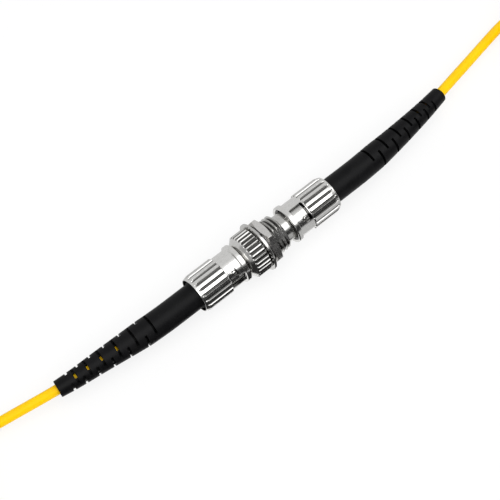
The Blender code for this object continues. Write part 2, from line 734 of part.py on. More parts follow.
def route_points(side):
    """The cord's route in the row's frame, along its own hand-chosen points."""
    rows = LEFT_ROUTE if side < 0 else RIGHT_ROUTE
    drop = AXIS_HEIGHT - CORD_RADIUS
    return [Vector((side * (ROUTE_ZERO + back), across, AXIS_HEIGHT - share * drop))
            for back, across, share in rows]


def smooth_curve(points):
    """A Catmull-Rom curve through the points, as a fine run of places."""
    places = []
    padded = [2 * points[0] - points[1]] + points + [2 * points[-1] - points[-2]]
    for index in range(1, len(padded) - 2):
        before, start, end, after = padded[index - 1:index + 3]
        for step in range(ROUTE_STEPS):
            t = step / ROUTE_STEPS
            places.append(0.5 * ((2 * start) + (end - before) * t
                                 + (2 * before - 5 * start + 4 * end - after) * t ** 2
                                 + (3 * start - before - 3 * end + after) * t ** 3))
    places.append(points[-1])
    return places


class Path:
    """A smooth route that gives the place and direction at a distance along it."""

    def __init__(self, points):
        self.places = smooth_curve(points)
        self.reach = [0.0]
        for before, after in zip(self.places, self.places[1:]):
            self.reach.append(self.reach[-1] + (after - before).length)
        self.length = self.reach[-1]

    def at(self, distance):
        """Place and direction at a distance from the start."""
        index = 0
        while index < len(self.places) - 2 and self.reach[index + 1] < distance:
            index += 1
        start = self.places[index]
        step = self.places[index + 1] - start
        share = (distance - self.reach[index]) / step.length
        return start + step * share, step.normalized()


def boot_stations():
    """Distances behind the route's zero where the boot's slots lie: they fill the
    stretch up to the end band, and draw closer towards it."""
    steps = BOOT_SLOT_COUNT - 1
    shares = [1.0 - (1.0 - BOOT_LAST_PITCH_SHARE) * step / (steps - 1) for step in range(steps)]
    room = BOOT_LENGTH - BOOT_END_BAND - BOOT_FIRST_SLOT
    return [BOOT_FIRST_SLOT + room * sum(shares[:slot]) / sum(shares)
            for slot in range(BOOT_SLOT_COUNT)]


def boot_outer_radius(distance):
    """Outer radius of the boot at a distance behind the route's zero."""
    if distance < -BOOT_BASE_SETBACK + BOOT_FLARE_LENGTH:
        share = (distance + BOOT_BASE_SETBACK) / BOOT_FLARE_LENGTH
        return (BOOT_BASE_DIAMETER + (BOOT_DIAMETER - BOOT_BASE_DIAMETER) * share) / 2
    if distance < BOOT_TAPER_START:
        return BOOT_DIAMETER / 2
    share = (distance - BOOT_TAPER_START) / (BOOT_LENGTH - BOOT_TAPER_START)
    return (BOOT_DIAMETER + (BOOT_END_DIAMETER - BOOT_DIAMETER) * share) / 2


def boot_sections():
    """Rings of the boot: (distance, outer radius, bore radius, slot number or None
    for the stretch that starts there)."""
    wide = STEM_DIAMETER / 2 + CLOSE_GAP + CRIMP_WALL + SLIDING_GAP
    neck = CORD_RADIUS + CLOSE_GAP + CRIMP_WALL + SLIDING_GAP
    narrow = CORD_RADIUS + CORD_CLEARANCE
    crimp_step = CRIMP_STEP - ROUTE_ZERO
    crimp_neck = crimp_step + CRIMP_TAPER_LENGTH + SLIDING_GAP
    crimp_rear = CRIMP_REAR - ROUTE_ZERO + SLIDING_GAP
    rows = [
        (-BOOT_BASE_SETBACK, wide, None),
        (-BOOT_BASE_SETBACK + BOOT_FLARE_LENGTH, wide, None),
        (crimp_step + SLIDING_GAP, wide, None),
        (crimp_neck + SLIDING_GAP, neck, None),
        (crimp_rear, neck, None),
        (crimp_rear + SLIDING_GAP, narrow, None),
    ]
    half = BOOT_SLOT_WIDTH / 2
    for number, place in enumerate(boot_stations()):
        rows.append((place - half, narrow, number))
        rows.append((place + half, narrow, None))
    rounding = CLOSE_GAP * 2
    rows.append((BOOT_LENGTH - rounding, narrow, None))
    sections = [(place, boot_outer_radius(place), bore, slot) for place, bore, slot in rows]
    sections.append((BOOT_LENGTH, BOOT_END_DIAMETER / 2 - rounding, narrow, None))
    return sections


def make_boot(label, side):
    """Moulded strain relief: a bent, tapered tube with pairs of slots, each pair
    a quarter turn on from the last."""
    path = Path(route_points(side))
    offset = -(LEFT_ROUTE[0][0] if side < 0 else RIGHT_ROUTE[0][0])
    roll = math.radians(LEFT_BOOT_ROLL_DEG if side < 0 else RIGHT_BOOT_ROLL_DEG)
    sections = boot_sections()
    around = BOOT_SIDES
    vertices = []
    for distance, outer, bore, _ in sections:
        centre, along = path.at(distance + offset)
        up = (Vector((0, 0, 1)) - along * along.z).normalized()
        over = Vector((0, -1, 0)) - along * -along.y
        over = (over - up * over.dot(up)).normalized()
        for radius in (outer, bore):
            for step in range(around):
                angle = roll + 2 * math.pi * (step - 0.5) / around
                vertices.append(centre + radius * (up * math.cos(angle) + over * math.sin(angle)))

    def vertex(section, wall, step):
        return section * 2 * around + wall * around + step % around

    quarter = around // 4

    def is_open(section, step):
        if section < 0 or section >= len(sections) - 1:
            return True
        slot = sections[section][3]
        if slot is None:
            return False
        from_middle = (step - slot % 2 * quarter) % (around // 2)
        return min(from_middle, around // 2 - from_middle) <= BOOT_SLOT_SIDES // 2

    faces = []
    for section in range(len(sections)):
        for step in range(around):
            empty = is_open(section, step)
            if not empty:
                for wall in (0, 1):
                    faces.append((vertex(section, wall, step), vertex(section + 1, wall, step),
                                  vertex(section + 1, wall, step + 1), vertex(section, wall, step + 1)))
            if empty != is_open(section - 1, step):
                faces.append((vertex(section, 0, step), vertex(section, 0, step + 1),
                              vertex(section, 1, step + 1), vertex(section, 1, step)))
            if section < len(sections) - 1 and empty != is_open(section, step - 1):
                faces.append((vertex(section, 0, step), vertex(section + 1, 0, step),
                              vertex(section + 1, 1, step), vertex(section, 1, step)))
    add_object(f"{label}_boot", mesh_from(vertices, faces), black_rubber())


def make_cord(label, side):
    """Jacketed fibre cord from the crimp to the edge of its hank."""
    path = Path(route_points(side))
    start = CORD_START - ROUTE_ZERO - (LEFT_ROUTE[0][0] if side < 0 else RIGHT_ROUTE[0][0])
    count = math.ceil((path.length - start) / CORD_STEP)
    curve = bpy.data.curves.new(f"{label}_cord", "CURVE")
    curve.dimensions = "3D"
    curve.bevel_depth = CORD_RADIUS
    curve.bevel_resolution = 2
    curve.use_fill_caps = True
    spline = curve.splines.new("POLY")
    spline.points.add(count)
    for step in range(count + 1):
        place, _ = path.at(start + (path.length - start) * step / count)
        spline.points[step].co = (*place, 1.0)
    curve.materials.append(yellow_jacket())
    cord = bpy.data.objects.new(f"{label}_cord", curve)
    bpy.context.scene.collection.objects.link(cord)
    return path


def make_hank(label, side, path):
    """The unseen length, folded into a flat hank in line with the object: a plain
    oblong ring that the cord runs into."""
    end, along = path.at(path.length)
    outer = HANK_FOLD_RADIUS + HANK_TURNS_WIDE * CORD_RADIUS
    inner = HANK_FOLD_RADIUS - HANK_TURNS_WIDE * CORD_RADIUS
    turn_radius = outer - CORD_RADIUS
    lead = math.sqrt(outer ** 2 - (turn_radius - CORD_RADIUS) ** 2) + JOINT_GAP
    along = Vector((along.x, along.y, 0)).normalized()
    inward = Vector((along.y, -along.x, 0)) * side
    near = end + along * lead + inward * turn_radius
    height = HANK_TURNS_HIGH * CORD_DIAMETER
    edge = HANK_EDGE
    section = [
        (inner, 0.0), (outer - edge, 0.0), (outer, edge),
        (outer, height - edge), (outer - edge, height), (inner, height),
    ]
    half = BORE_SEGMENTS // 2
    vertices = []
    for fold in (0, 1):
        middle = near.x + side * fold * HANK_RUN
        for step in range(half + 1):
            angle = math.pi * (step / half + 0.5 + fold)
            for radius, z in section:
                vertices.append((middle + side * radius * math.cos(angle),
                                 near.y + radius * math.sin(angle), z))
    size = len(section)
    count = len(vertices) // size
    faces = []
    for station in range(count):
        for ring in range(size):
            here = station * size + ring
            after = station * size + (ring + 1) % size
            there = (station + 1) % count * size
            faces.append((here, after, there + (ring + 1) % size, there + ring))
    add_object(f"{label}_cord_hank", mesh_from(vertices, faces), yellow_jacket())


def main():
    clear_scene()
    make_threaded_body()
    make_knurled_body()
    make_sleeve()
    make_lock_washer()
    make_hex_nut()
    for label, side in (("left", -1), ("right", 1)):
        make_coupling_nut(label, side)
        make_thrust_washer(label, side)
        make_spring(label, side)
        make_plug_body(label, side)
        make_ferrule(label, side)
        make_fibre_buffer(label, side)
        make_retaining_clip(label, side)
        make_crimp_sleeve(label, side)
        make_boot(label, side)
        path = make_cord(label, side)
        make_hank(label, side, path)


main()
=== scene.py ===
"""ST bulkhead adapter with two bayonet plugs locked on, each on a jacketed fibre cord.

Metres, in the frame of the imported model: the fibre axis lies along X at AXIS above the
surface. A roll is the angle round that axis, from straight up towards minus Y. Profiles
and routes are written in millimetres. A plug is drawn along plus X and turned to its side.
"""
import math

import bmesh
import bpy
from mathutils import Matrix, Vector


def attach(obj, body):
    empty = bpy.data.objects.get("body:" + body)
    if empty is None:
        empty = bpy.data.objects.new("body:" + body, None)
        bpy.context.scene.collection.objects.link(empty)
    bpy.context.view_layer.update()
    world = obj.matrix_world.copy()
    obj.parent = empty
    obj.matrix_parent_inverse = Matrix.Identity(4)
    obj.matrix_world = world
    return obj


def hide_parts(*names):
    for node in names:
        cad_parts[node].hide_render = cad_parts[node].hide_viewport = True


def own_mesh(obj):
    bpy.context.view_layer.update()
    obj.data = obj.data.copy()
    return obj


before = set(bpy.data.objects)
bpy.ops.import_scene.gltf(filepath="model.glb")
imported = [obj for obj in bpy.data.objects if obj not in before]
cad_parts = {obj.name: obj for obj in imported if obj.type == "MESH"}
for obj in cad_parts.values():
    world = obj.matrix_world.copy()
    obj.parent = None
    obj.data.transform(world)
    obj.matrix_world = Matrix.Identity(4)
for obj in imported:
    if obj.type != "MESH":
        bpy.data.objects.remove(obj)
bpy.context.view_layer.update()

# Threaded half of the adapter

# One turned brass piece, nickel plated: thin panel flange, M9 x 1 thread with two milled
# flats, and the right barrel with its two bayonet lugs and its keyway. Its spigot, behind
# the flange, is pressed into the knurled half.
MM = 0.001
AXIS = 6.25 * MM
LUG_ROLL = math.radians(39)
SPIGOT_LEFT = -5.2
SPIGOT = 3.0
FLANGE_LEFT = -1.55
FLANGE = 6.25
UNDERCUT = 3.9
THREAD_LEFT = -1.0
THREAD_RIGHT = 4.9
THREAD_CREST = 4.5
THREAD_DEPTH = 0.61
THREAD_PITCH = 1.0
THREAD_FLAT = 3.85
THREAD_ROWS = 20
THREAD_BREAK = 0.4
BREAK_ROWS = 8
BARREL = 3.5
BARREL_END = 12.0
BARREL_BREAK = 0.3
BARREL_BORE = 2.7
BARREL_FLOOR = 7.0
FERRULE_HOLE = 1.45
SLEEVE_STOP = 5.9
SLEEVE_BORE = 1.75
LUG_PLACE = 10.55
LUG_RADIUS = 0.5
LUG_HEIGHT = 0.75
LUG_EASE = 0.17
KEYWAY_LENGTH = 1.8
KEYWAY_HALF = 0.65
KEYWAY_FLOOR = 2.4


def eased(profile, ease=0.06):
    """Round the corners of a closed profile a little, as real edges are. A corner's
    third value is its own ease."""
    soft = []
    for index, corner in enumerate(profile):
        reach = corner[2] if len(corner) > 2 else ease
        if reach <= 0:
            soft.append(corner[:2])
            continue
        here = Vector(corner[:2])
        ends = []
        for other in (profile[index - 1], profile[(index + 1) % len(profile)]):
            gap = Vector(other[:2]) - here
            ends.append(here + gap * min(reach / gap.length, 0.4))
        for share in (0.0, 0.3, 0.5, 0.7, 1.0):
            point = ends[0].lerp(here, share).lerp(here.lerp(ends[1], share), share)
            soft.append((point.x, point.y))
    return soft


def reshape(mesh, change):
    """Run one change on a mesh, given as a function of its bmesh."""
    shape = bmesh.new()
    shape.from_mesh(mesh)
    change(shape)
    shape.to_mesh(mesh)
    shape.free()


def point_outwards(shape):
    """Turn every face of a closed shape to the outside."""
    bmesh.ops.recalc_face_normals(shape, faces=shape.faces)


def closed_mesh(name, vertices, faces):
    """One mesh from points and faces, with its faces pointing out."""
    mesh = bpy.data.meshes.new(name)
    mesh.from_pydata(vertices, [], faces)
    reshape(mesh, point_outwards)
    return mesh


def band_faces(steps, size, count):
    """Faces from each copy of a closed row of points to the next. After the last of the
    copies comes the first."""
    faces = []
    for step in range(steps):
        here = step * size
        there = (step + 1) % count * size
        for place in range(size):
            after = (place + 1) % size
            faces.append((here + place, here + after, there + after, there + place))
    return faces


def wall_faces(rows, sides):
    """Faces of a wall through rows of points, and of its two flat ends."""
    ends = [list(range(sides)), [(rows - 1) * sides + step for step in range(sides)]]
    return ends + band_faces(rows - 1, sides, rows)


def on_roll(x, radius, roll):
    """A point in metres, from millimetres along and out from the axis, and a roll."""
    return (x * MM, -radius * math.sin(roll) * MM, radius * math.cos(roll) * MM)


def turned(name, profile, around, cut=None, slit_deg=0.0):
    """Turn a closed profile of (x, radius), in millimetres, round the fibre axis. A
    ring may be a rule of the roll. The cut says where a thread or knurl may take metal."""
    slit = math.radians(slit_deg)
    count = around + 1 if slit else around
    vertices = []
    cuts = []
    for step in range(count):
        roll = slit / 2 + (2 * math.pi - slit) * step / around
        for ring in profile:
            x, radius = ring(roll) if callable(ring) else ring
            vertices.append(on_roll(x, radius, roll))
            cuts.append(1.0 if cut and cut(x, radius) else 0.0)
    size = len(profile)
    faces = band_faces(around, size, count)
    if slit:
        faces += [list(range(size)), [around * size + ring for ring in range(size)]]
    mesh = closed_mesh(name, vertices, faces)
    if cut:
        mesh.attributes.new("cut", "FLOAT", "POINT").data.foreach_set("value", cuts)
    return mesh


def feed(tree, value, socket):
    """Set a socket from another node's output, or to a plain value."""
    if isinstance(value, bpy.types.NodeSocket):
        tree.links.new(value, socket)
    else:
        socket.default_value = value


def fill(tree, sockets, values):
    """Link or set several sockets of one node."""
    for socket, value in values.items():
        feed(tree, value, sockets[socket])


def add_node(tree, kind, values=None, **settings):
    """A new node with its settings, and its inputs linked or set."""
    node = tree.nodes.new(kind)
    for setting, value in settings.items():
        setattr(node, setting, value)
    fill(tree, node.inputs, values or {})
    return node


def sum_of(tree, operation, *values):
    """One sum of a node tree."""
    return add_node(tree, "ShaderNodeMath", dict(enumerate(values)), operation=operation).outputs[0]


def sums(tree):
    """A short way to write the sums of one tree."""
    return lambda operation, *values: sum_of(tree, operation, *values)


def distance_from_axis(tree, y, z):
    """How far a point lies from the X axis."""
    return sum_of(tree, "SQRT", sum_of(tree, "MULTIPLY_ADD", y, y, sum_of(tree, "MULTIPLY", z, z)))


def new_tree(name, inputs):
    """A Geometry Nodes tree with named inputs, and its last three nodes: Realize
    Instances, Set Material and the output."""
    tree = bpy.data.node_groups.new(name, "GeometryNodeTree")
    for label, kind in [("Geometry", "Geometry"), *inputs, ("Finish", "Material")]:
        tree.interface.new_socket(label, in_out="INPUT", socket_type=f"NodeSocket{kind}")
    tree.interface.new_socket("Geometry", in_out="OUTPUT", socket_type="NodeSocketGeometry")
    source = tree.nodes.new("NodeGroupInput").outputs
    realize = tree.nodes.new("GeometryNodeRealizeInstances")
    finish = add_node(tree, "GeometryNodeSetMaterial",
                      {"Geometry": realize.outputs[0], "Material": source["Finish"]})
    add_node(tree, "NodeGroupOutput", {0: finish.outputs[0]})
    return tree, source, realize.inputs[0]


def ridge_tree():
    """Cuts ridges into a turned piece: straight ones, as a knurl has, or with a twist
    the one start of a screw thread. Grooves are straight-sided or hollow, and flats are
    milled over them. How deep a point lies in a groove is kept, for the painted shade there."""
    tree, source, result = new_tree("Ridges", [(label, "Float") for label in (
        "Starts", "Twist", "Crest", "Depth", "Land", "Flank", "Round", "Flat", "Flat roll")])
    calc = sums(tree)
    position = add_node(tree, "GeometryNodeInputPosition").outputs[0]
    x, y, z = add_node(tree, "ShaderNodeSeparateXYZ", {0: position}).outputs
    named = add_node(tree, "GeometryNodeInputNamedAttribute", {"Name": "cut"}, data_type="FLOAT")
    cut = named.outputs["Attribute"]
    roll = calc("ARCTAN2", calc("MULTIPLY", y, -1.0), z)
    along = calc("MULTIPLY", x, source["Twist"])
    phase = calc("FRACT", calc("MULTIPLY_ADD", calc("DIVIDE", roll, 2 * math.pi), source["Starts"], along))
    off_land = calc("ABSOLUTE", calc("MULTIPLY_ADD", phase, 2.0, -1.0))
    slope = calc("DIVIDE", calc("SUBTRACT", off_land, source["Land"]), source["Flank"])
    straight = calc("MAXIMUM", calc("MINIMUM", slope, 1.0), 0.0)
    rest = calc("SUBTRACT", 1.0, straight)
    hollow = calc("SQRT", calc("SUBTRACT", 1.0, calc("MULTIPLY", rest, rest)))
    dip = calc("MULTIPLY_ADD", calc("SUBTRACT", hollow, straight), source["Round"], straight)
    ridge = calc("SUBTRACT", source["Crest"], calc("MULTIPLY", dip, source["Depth"]))
    facing = calc("ABSOLUTE", calc("COSINE", calc("SUBTRACT", roll, source["Flat roll"])))
    flat = calc("DIVIDE", source["Flat"], calc("MAXIMUM", facing, 0.05))
    radius = distance_from_axis(tree, y, z)
    limit = calc("ADD", calc("MINIMUM", ridge, flat), calc("SUBTRACT", 1.0, cut))
    share = calc("DIVIDE", calc("MINIMUM", radius, limit), radius)
    moved = add_node(tree, "ShaderNodeCombineXYZ",
                     {0: x, 1: calc("MULTIPLY", y, share), 2: calc("MULTIPLY", z, share)})
    removed = calc("SUBTRACT", radius, calc("MINIMUM", radius, ridge))
    in_groove = calc("MULTIPLY", calc("LESS_THAN", ridge, flat), cut)
    kept = add_node(tree, "GeometryNodeStoreNamedAttribute", data_type="FLOAT", domain="POINT")
    fill(tree, kept.inputs, {
        "Name": "recess", "Geometry": source["Geometry"],
        "Value": calc("MULTIPLY", calc("DIVIDE", removed, source["Depth"]), in_groove)})
    place = add_node(tree, "GeometryNodeSetPosition",
                     {"Geometry": kept.outputs[0], "Position": moved.outputs[0]})
    tree.links.new(place.outputs[0], result)
    return tree


ridges = ridge_tree()


def new_piece(name, mesh, finish):
    """A piece of the object, in its finish."""
    piece = bpy.data.objects.new(name, mesh)
    bpy.context.scene.collection.objects.link(piece)
    mesh.name = name
    mesh.materials.clear()
    mesh.materials.append(finish)
    return piece


def run_tree(piece, tree, finish, values):
    """Put a Geometry Nodes tree on a piece, with its inputs set by identifier."""
    change = piece.modifiers.new(tree.name, "NODES")
    change.node_group = tree
    for socket in tree.interface.items_tree:
        if socket.in_out == "INPUT" and socket.name in values:
            change[socket.identifier] = values[socket.name]
        if socket.in_out == "INPUT" and socket.name == "Finish":
            change[socket.identifier] = finish


def carve(piece, mesh, operation="DIFFERENCE"):
    """Cut a shape from a piece, or join it on."""
    tool = bpy.data.objects.new("tool", mesh)
    bpy.context.scene.collection.objects.link(tool)
    change = piece.modifiers.new("carve", "BOOLEAN")
    change.operation = operation
    change.object = tool
    change.solver = "EXACT"


def shade(mesh, degrees):
    """Shade a mesh smooth, but for its edges past an angle."""
    mesh.shade_smooth()
    mesh.set_sharp_from_angle(angle=math.radians(degrees))


def settle(piece, side=1, smooth_deg=32):
    """Make a piece a plain mesh, seated on the fibre axis at its side."""
    depsgraph = bpy.context.evaluated_depsgraph_get()
    mesh = bpy.data.meshes.new_from_object(piece.evaluated_get(depsgraph), depsgraph=depsgraph)
    for change in list(piece.modifiers):
        if change.type == "BOOLEAN":
            bpy.data.objects.remove(change.object, do_unlink=True)
    piece.modifiers.clear()
    old = piece.data
    finish = old.materials[0]
    name = old.name
    piece.data = mesh
    bpy.data.meshes.remove(old)
    mesh.name = name
    mesh.materials.clear()
    mesh.materials.append(finish)
    mesh.polygons.foreach_set("material_index", [0] * len(mesh.polygons))
    turn = Matrix.Rotation(math.pi if side < 0 else 0.0, 4, "Z")
    mesh.transform(Matrix.Translation((0, 0, AXIS)) @ turn)
    shade(mesh, smooth_deg)


def peg(x, roll, radius, bottom, top):
    """A bayonet lug: a short round peg with an eased end, standing out from the axis."""
    sides = 32
    rows = [(bottom, radius), (top - LUG_EASE, radius),
            (top - LUG_EASE * 0.3, radius - LUG_EASE * 0.3), (top, radius - LUG_EASE), (top, 0.02)]
    turn = Matrix.Rotation(roll, 3, "X")
    vertices = []
    for height, reach in rows:
        for step in range(sides):
            angle = 2 * math.pi * step / sides
            point = Vector((x + reach * math.cos(angle), reach * math.sin(angle), height))
            vertices.append(turn @ point * MM)
    return closed_mesh("peg", vertices, wall_faces(len(rows), sides))


def block(low, high, roll):
    """A box between two corners in millimetres, rolled about the axis."""
    corners = [Vector((x, y, z)) for x in (low[0], high[0]) for y in (low[1], high[1])
               for z in (low[2], high[2])]
    turn = Matrix.Rotation(roll, 3, "X")
    faces = [(0, 1, 3, 2), (4, 6, 7, 5), (0, 4, 5, 1), (2, 3, 7, 6), (0, 2, 6, 4), (1, 5, 7, 3)]
    return closed_mesh("block", [turn @ corner * MM for corner in corners], faces)


def finish_barrel(body, side):
    """Two lugs and the keyway on a barrel's end."""
    for roll in (LUG_ROLL, LUG_ROLL + math.pi):
        lug = peg(side * LUG_PLACE, roll, LUG_RADIUS, BARREL - 0.4, BARREL + LUG_HEIGHT)
        carve(body, lug, "UNION")
    low, high = sorted((side * (BARREL_END - KEYWAY_LENGTH), side * (BARREL_END + 0.3)))
    keyway = block((low, -KEYWAY_HALF, KEYWAY_FLOOR), (high, KEYWAY_HALF, BARREL + 0.3),
                   LUG_ROLL + math.pi / 2)
    carve(body, keyway)


def noise(tree, vector, scale, detail=2.0, roughness=0.5):
    """A noise pattern on the given coordinates."""
    return add_node(tree, "ShaderNodeTexNoise", {
        "Vector": vector, "Scale": scale, "Detail": detail, "Roughness": roughness}).outputs[0]


def spread(tree, value, low, high, to_low, to_high):
    """Map a pattern's range on to another."""
    values = dict(enumerate((value, low, high, to_low, to_high)))
    return add_node(tree, "ShaderNodeMapRange", values).outputs[0]


def blend_colours(tree, factor, first, second):
    """Mix two colours, or two patterns of colour."""
    values = {0: factor}
    for socket, given in ((6, first), (7, second)):
        values[socket] = (*given, 1.0) if isinstance(given, tuple) else given
    return add_node(tree, "ShaderNodeMix", values, data_type="RGBA").outputs[2]


def raised(tree, height, distance, under=None):
    """A bump from a pattern, on top of another bump if there is one."""
    node = add_node(tree, "ShaderNodeBump", {"Height": height, "Distance": distance, "Strength": 1.0})
    if under:
        tree.links.new(under, node.inputs["Normal"])
    return node.outputs[0]


def new_material(name):
    """A material with its shader, and the object's own coordinates from the axis."""
    material = bpy.data.materials.new(name)
    material.use_nodes = True
    tree = material.node_tree
    place = tree.nodes.new("ShaderNodeTexCoord").outputs["Object"]
    centred = add_node(tree, "ShaderNodeMapping", {"Vector": place, "Location": (0, 0, -AXIS)})
    return material, tree, tree.nodes["Principled BSDF"].inputs, centred.outputs[0]


def turned_metal(name, colour, dull, rough, line_height, groove_shade=0.0, groove_shade_from=0.2, bore=0.0):
    """Metal with the fine lines that the lathe leaves: round the cylinders and in
    circles on the faces. Smudges, a little tarnish and tiny pits break it up; painted
    shade darkens the grooves, and painted shade darkens what lies within the bore's radius."""
    material, tree, shader, place = new_material(name)
    x, y, z = add_node(tree, "ShaderNodeSeparateXYZ", {0: place}).outputs
    radius = distance_from_axis(tree, y, z)
    fine, coarse = 14000.0, 260.0
    across = add_node(tree, "ShaderNodeCombineXYZ", {
        0: sum_of(tree, "MULTIPLY", sum_of(tree, "ADD", x, radius), fine),
        1: sum_of(tree, "MULTIPLY", y, coarse), 2: sum_of(tree, "MULTIPLY", z, coarse)})
    lines = noise(tree, across.outputs[0], 1.0, 3.0, 0.6)
    smudge = noise(tree, place, 420.0, 4.0, 0.6)
    tarnish = noise(tree, place, 1500.0, 3.0, 0.55)
    pits = noise(tree, place, 9000.0, 1.0, 0.4)
    pitted = spread(tree, pits, 0.70, 0.76, 0.0, 1.0)
    worn = blend_colours(tree, spread(tree, tarnish, 0.35, 0.75, 0.0, 0.8), colour, dull)
    speckled = blend_colours(tree, sum_of(tree, "MULTIPLY", pitted, 0.5), worn, (0.16, 0.15, 0.14))
    # Painted shade: the deeper a point lies in a groove, the nearer its colour goes to near black, in place
    # of the shade that falls there.
    groove = add_node(tree, "ShaderNodeAttribute", attribute_name="recess").outputs["Fac"]
    painted_shade = sum_of(tree, "MULTIPLY", spread(tree, groove, groove_shade_from, 0.7, 0.0, 1.0), groove_shade)
    # Painted shade: inside the bore's radius the colour goes to near black, in place of the shade inside the
    # nut.
    if bore:
        painted_shade = sum_of(tree, "MAXIMUM", painted_shade, spread(tree, radius, bore - 0.12 * MM, bore, 0.92, 0.0))
    turning = raised(tree, lines, line_height)
    fill(tree, shader, {
        "Base Color": blend_colours(tree, painted_shade, speckled, (0.03, 0.03, 0.028)), "Metallic": 1.0,
        "Roughness": spread(tree, smudge, 0.3, 0.7, *rough),
        "Normal": raised(tree, smudge, 0.005 * MM, under=turning)})
    return material


# Painted shade: the same plating as the knurled half, made darker for the darker reflections on the threaded
# half; its thread roots are painted darker too.
bright_nickel = turned_metal(
    "bright_nickel", (0.66, 0.655, 0.64), (0.54, 0.535, 0.52), (0.15, 0.28), 0.0035 * MM,
    groove_shade=0.9, groove_shade_from=0.5)

threads = [(THREAD_LEFT + 0.001, THREAD_CREST, 0)]
thread_steps = round((THREAD_RIGHT - THREAD_BREAK - THREAD_LEFT) / THREAD_PITCH * THREAD_ROWS)
for row in range(1, thread_steps + 1):
    threads.append((THREAD_LEFT + row * THREAD_PITCH / THREAD_ROWS, THREAD_CREST, 0))
for row in range(1, BREAK_ROWS + 1):
    taken = row * THREAD_BREAK / BREAK_ROWS
    threads.append((THREAD_RIGHT - THREAD_BREAK + taken, THREAD_CREST - taken, 0))
threaded_profile = eased([
    (SPIGOT_LEFT, SPIGOT), (FLANGE_LEFT, SPIGOT, 0.03), (FLANGE_LEFT, FLANGE, 0.12),
    (THREAD_LEFT, FLANGE, 0.12), (THREAD_LEFT, UNDERCUT, 0), *threads, (THREAD_RIGHT, BARREL, 0.03),
    (BARREL_END - BARREL_BREAK, BARREL), (BARREL_END, BARREL - BARREL_BREAK), (BARREL_END, BARREL_BORE),
    (BARREL_FLOOR, BARREL_BORE), (BARREL_FLOOR, FERRULE_HOLE), (SLEEVE_STOP, FERRULE_HOLE),
    (SLEEVE_STOP, SLEEVE_BORE), (SPIGOT_LEFT, SLEEVE_BORE),
])
threaded_mesh = turned(
    "adapter_threaded", threaded_profile, 384,
    cut=lambda x, radius: THREAD_LEFT <= x <= THREAD_RIGHT and BARREL + 0.05 < radius <= THREAD_CREST)
threaded = new_piece("adapter_threaded", threaded_mesh, bright_nickel)
run_tree(threaded, ridges, bright_nickel, {
    "Starts": -1.0, "Twist": 1 / (THREAD_PITCH * MM), "Crest": THREAD_CREST * MM,
    "Depth": THREAD_DEPTH * MM, "Land": 0.13, "Flank": 0.68, "Round": 0.0,
    "Flat": THREAD_FLAT * MM, "Flat roll": LUG_ROLL})
finish_barrel(threaded, 1)
settle(threaded, smooth_deg=20)
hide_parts("adapter_threaded_body")
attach(threaded, "adapter_and_plugs")

# Knurled half of the adapter

# Turned from the same brass and plated: a straight-knurled ring to hold the adapter by,
# a cone down to the left barrel, and that barrel's own lugs and keyway. It is pressed on
# the threaded half's spigot, with a hair of a gap left behind the flange.
KNURL_CREST = 5.5
KNURL_DEPTH = 0.35
KNURLS = 30.0
KNURL_FLOOR = 4.9
KNURL_FACE = -1.75
CONE_START = -5.2
CONE_END = -6.85
SOCKET_END = -5.4
SOCKET = 3.1

cone_rows = [(CONE_START - 0.05 * row, KNURL_CREST - 0.05 * row, 0) for row in range(10)]
knurled_profile = eased([
    (KNURL_FACE, 5.15, 0), (-1.84, 5.33, 0), (-1.925, KNURL_CREST, 0), (-2.2, KNURL_CREST, 0),
    (-3.5, KNURL_CREST, 0), *cone_rows, (CONE_END, 3.85, 0.1), (CONE_END, BARREL, 0.03),
    (BARREL_BREAK - BARREL_END, BARREL), (-BARREL_END, BARREL - BARREL_BREAK),
    (-BARREL_END, BARREL_BORE), (-BARREL_FLOOR, BARREL_BORE), (-BARREL_FLOOR, FERRULE_HOLE),
    (-SLEEVE_STOP, FERRULE_HOLE), (-SLEEVE_STOP, SLEEVE_BORE), (SOCKET_END, SLEEVE_BORE),
    (SOCKET_END, SOCKET), (KNURL_FACE, SOCKET),
])
# Painted shade darkens the knurl's grooves towards near black.
knurl_nickel = turned_metal(
    "knurl_nickel", (0.80, 0.795, 0.78), (0.68, 0.675, 0.655), (0.13, 0.26), 0.003 * MM,
    groove_shade=0.97, groove_shade_from=0.02)
knurled_mesh = turned("adapter_knurled", knurled_profile, 360, cut=lambda x, radius: radius > KNURL_FLOOR)
knurled = new_piece("adapter_knurled", knurled_mesh, knurl_nickel)
run_tree(knurled, ridges, knurl_nickel, {
    "Starts": KNURLS, "Twist": 0.0, "Crest": KNURL_CREST * MM, "Depth": KNURL_DEPTH * MM,
    "Land": 0.32, "Flank": 0.46, "Round": 0.8, "Flat": 1.0, "Flat roll": 0.0})
finish_barrel(knurled, -1)
settle(knurled)
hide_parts("adapter_knurled_body")
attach(knurled, "adapter_and_plugs")

# Alignment sleeve

# Split zirconia sleeve, loose in the adapter's bore, that lines the two ferrules up.
# It is sealed inside, so its solid stays and gets the polished ceramic finish.


def polished_ceramic(name, colour):
    """Ceramic ground and polished: smooth, faintly clouded, with grinding lines."""
    material, tree, shader, place = new_material(name)
    cloud = noise(tree, place, 900.0, 3.0)
    darker = tuple(part * 0.9 for part in colour)
    fill(tree, shader, {
        "Base Color": blend_colours(tree, spread(tree, cloud, 0.35, 0.7, 0.0, 1.0), colour, darker),
        "Roughness": spread(tree, cloud, 0.3, 0.7, 0.14, 0.24), "Coat Weight": 0.3,
        "Normal": raised(tree, noise(tree, place, 16000.0), 0.001 * MM)})
    return material


def refinish(node, material):
    """Give a CAD solid that stays its real finish."""
    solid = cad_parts[node]
    solid.data.materials.clear()
    solid.data.materials.append(material)


white_ceramic = polished_ceramic("white_ceramic", (0.86, 0.85, 0.81))
refinish("alignment_sleeve", white_ceramic)

# Lock washer

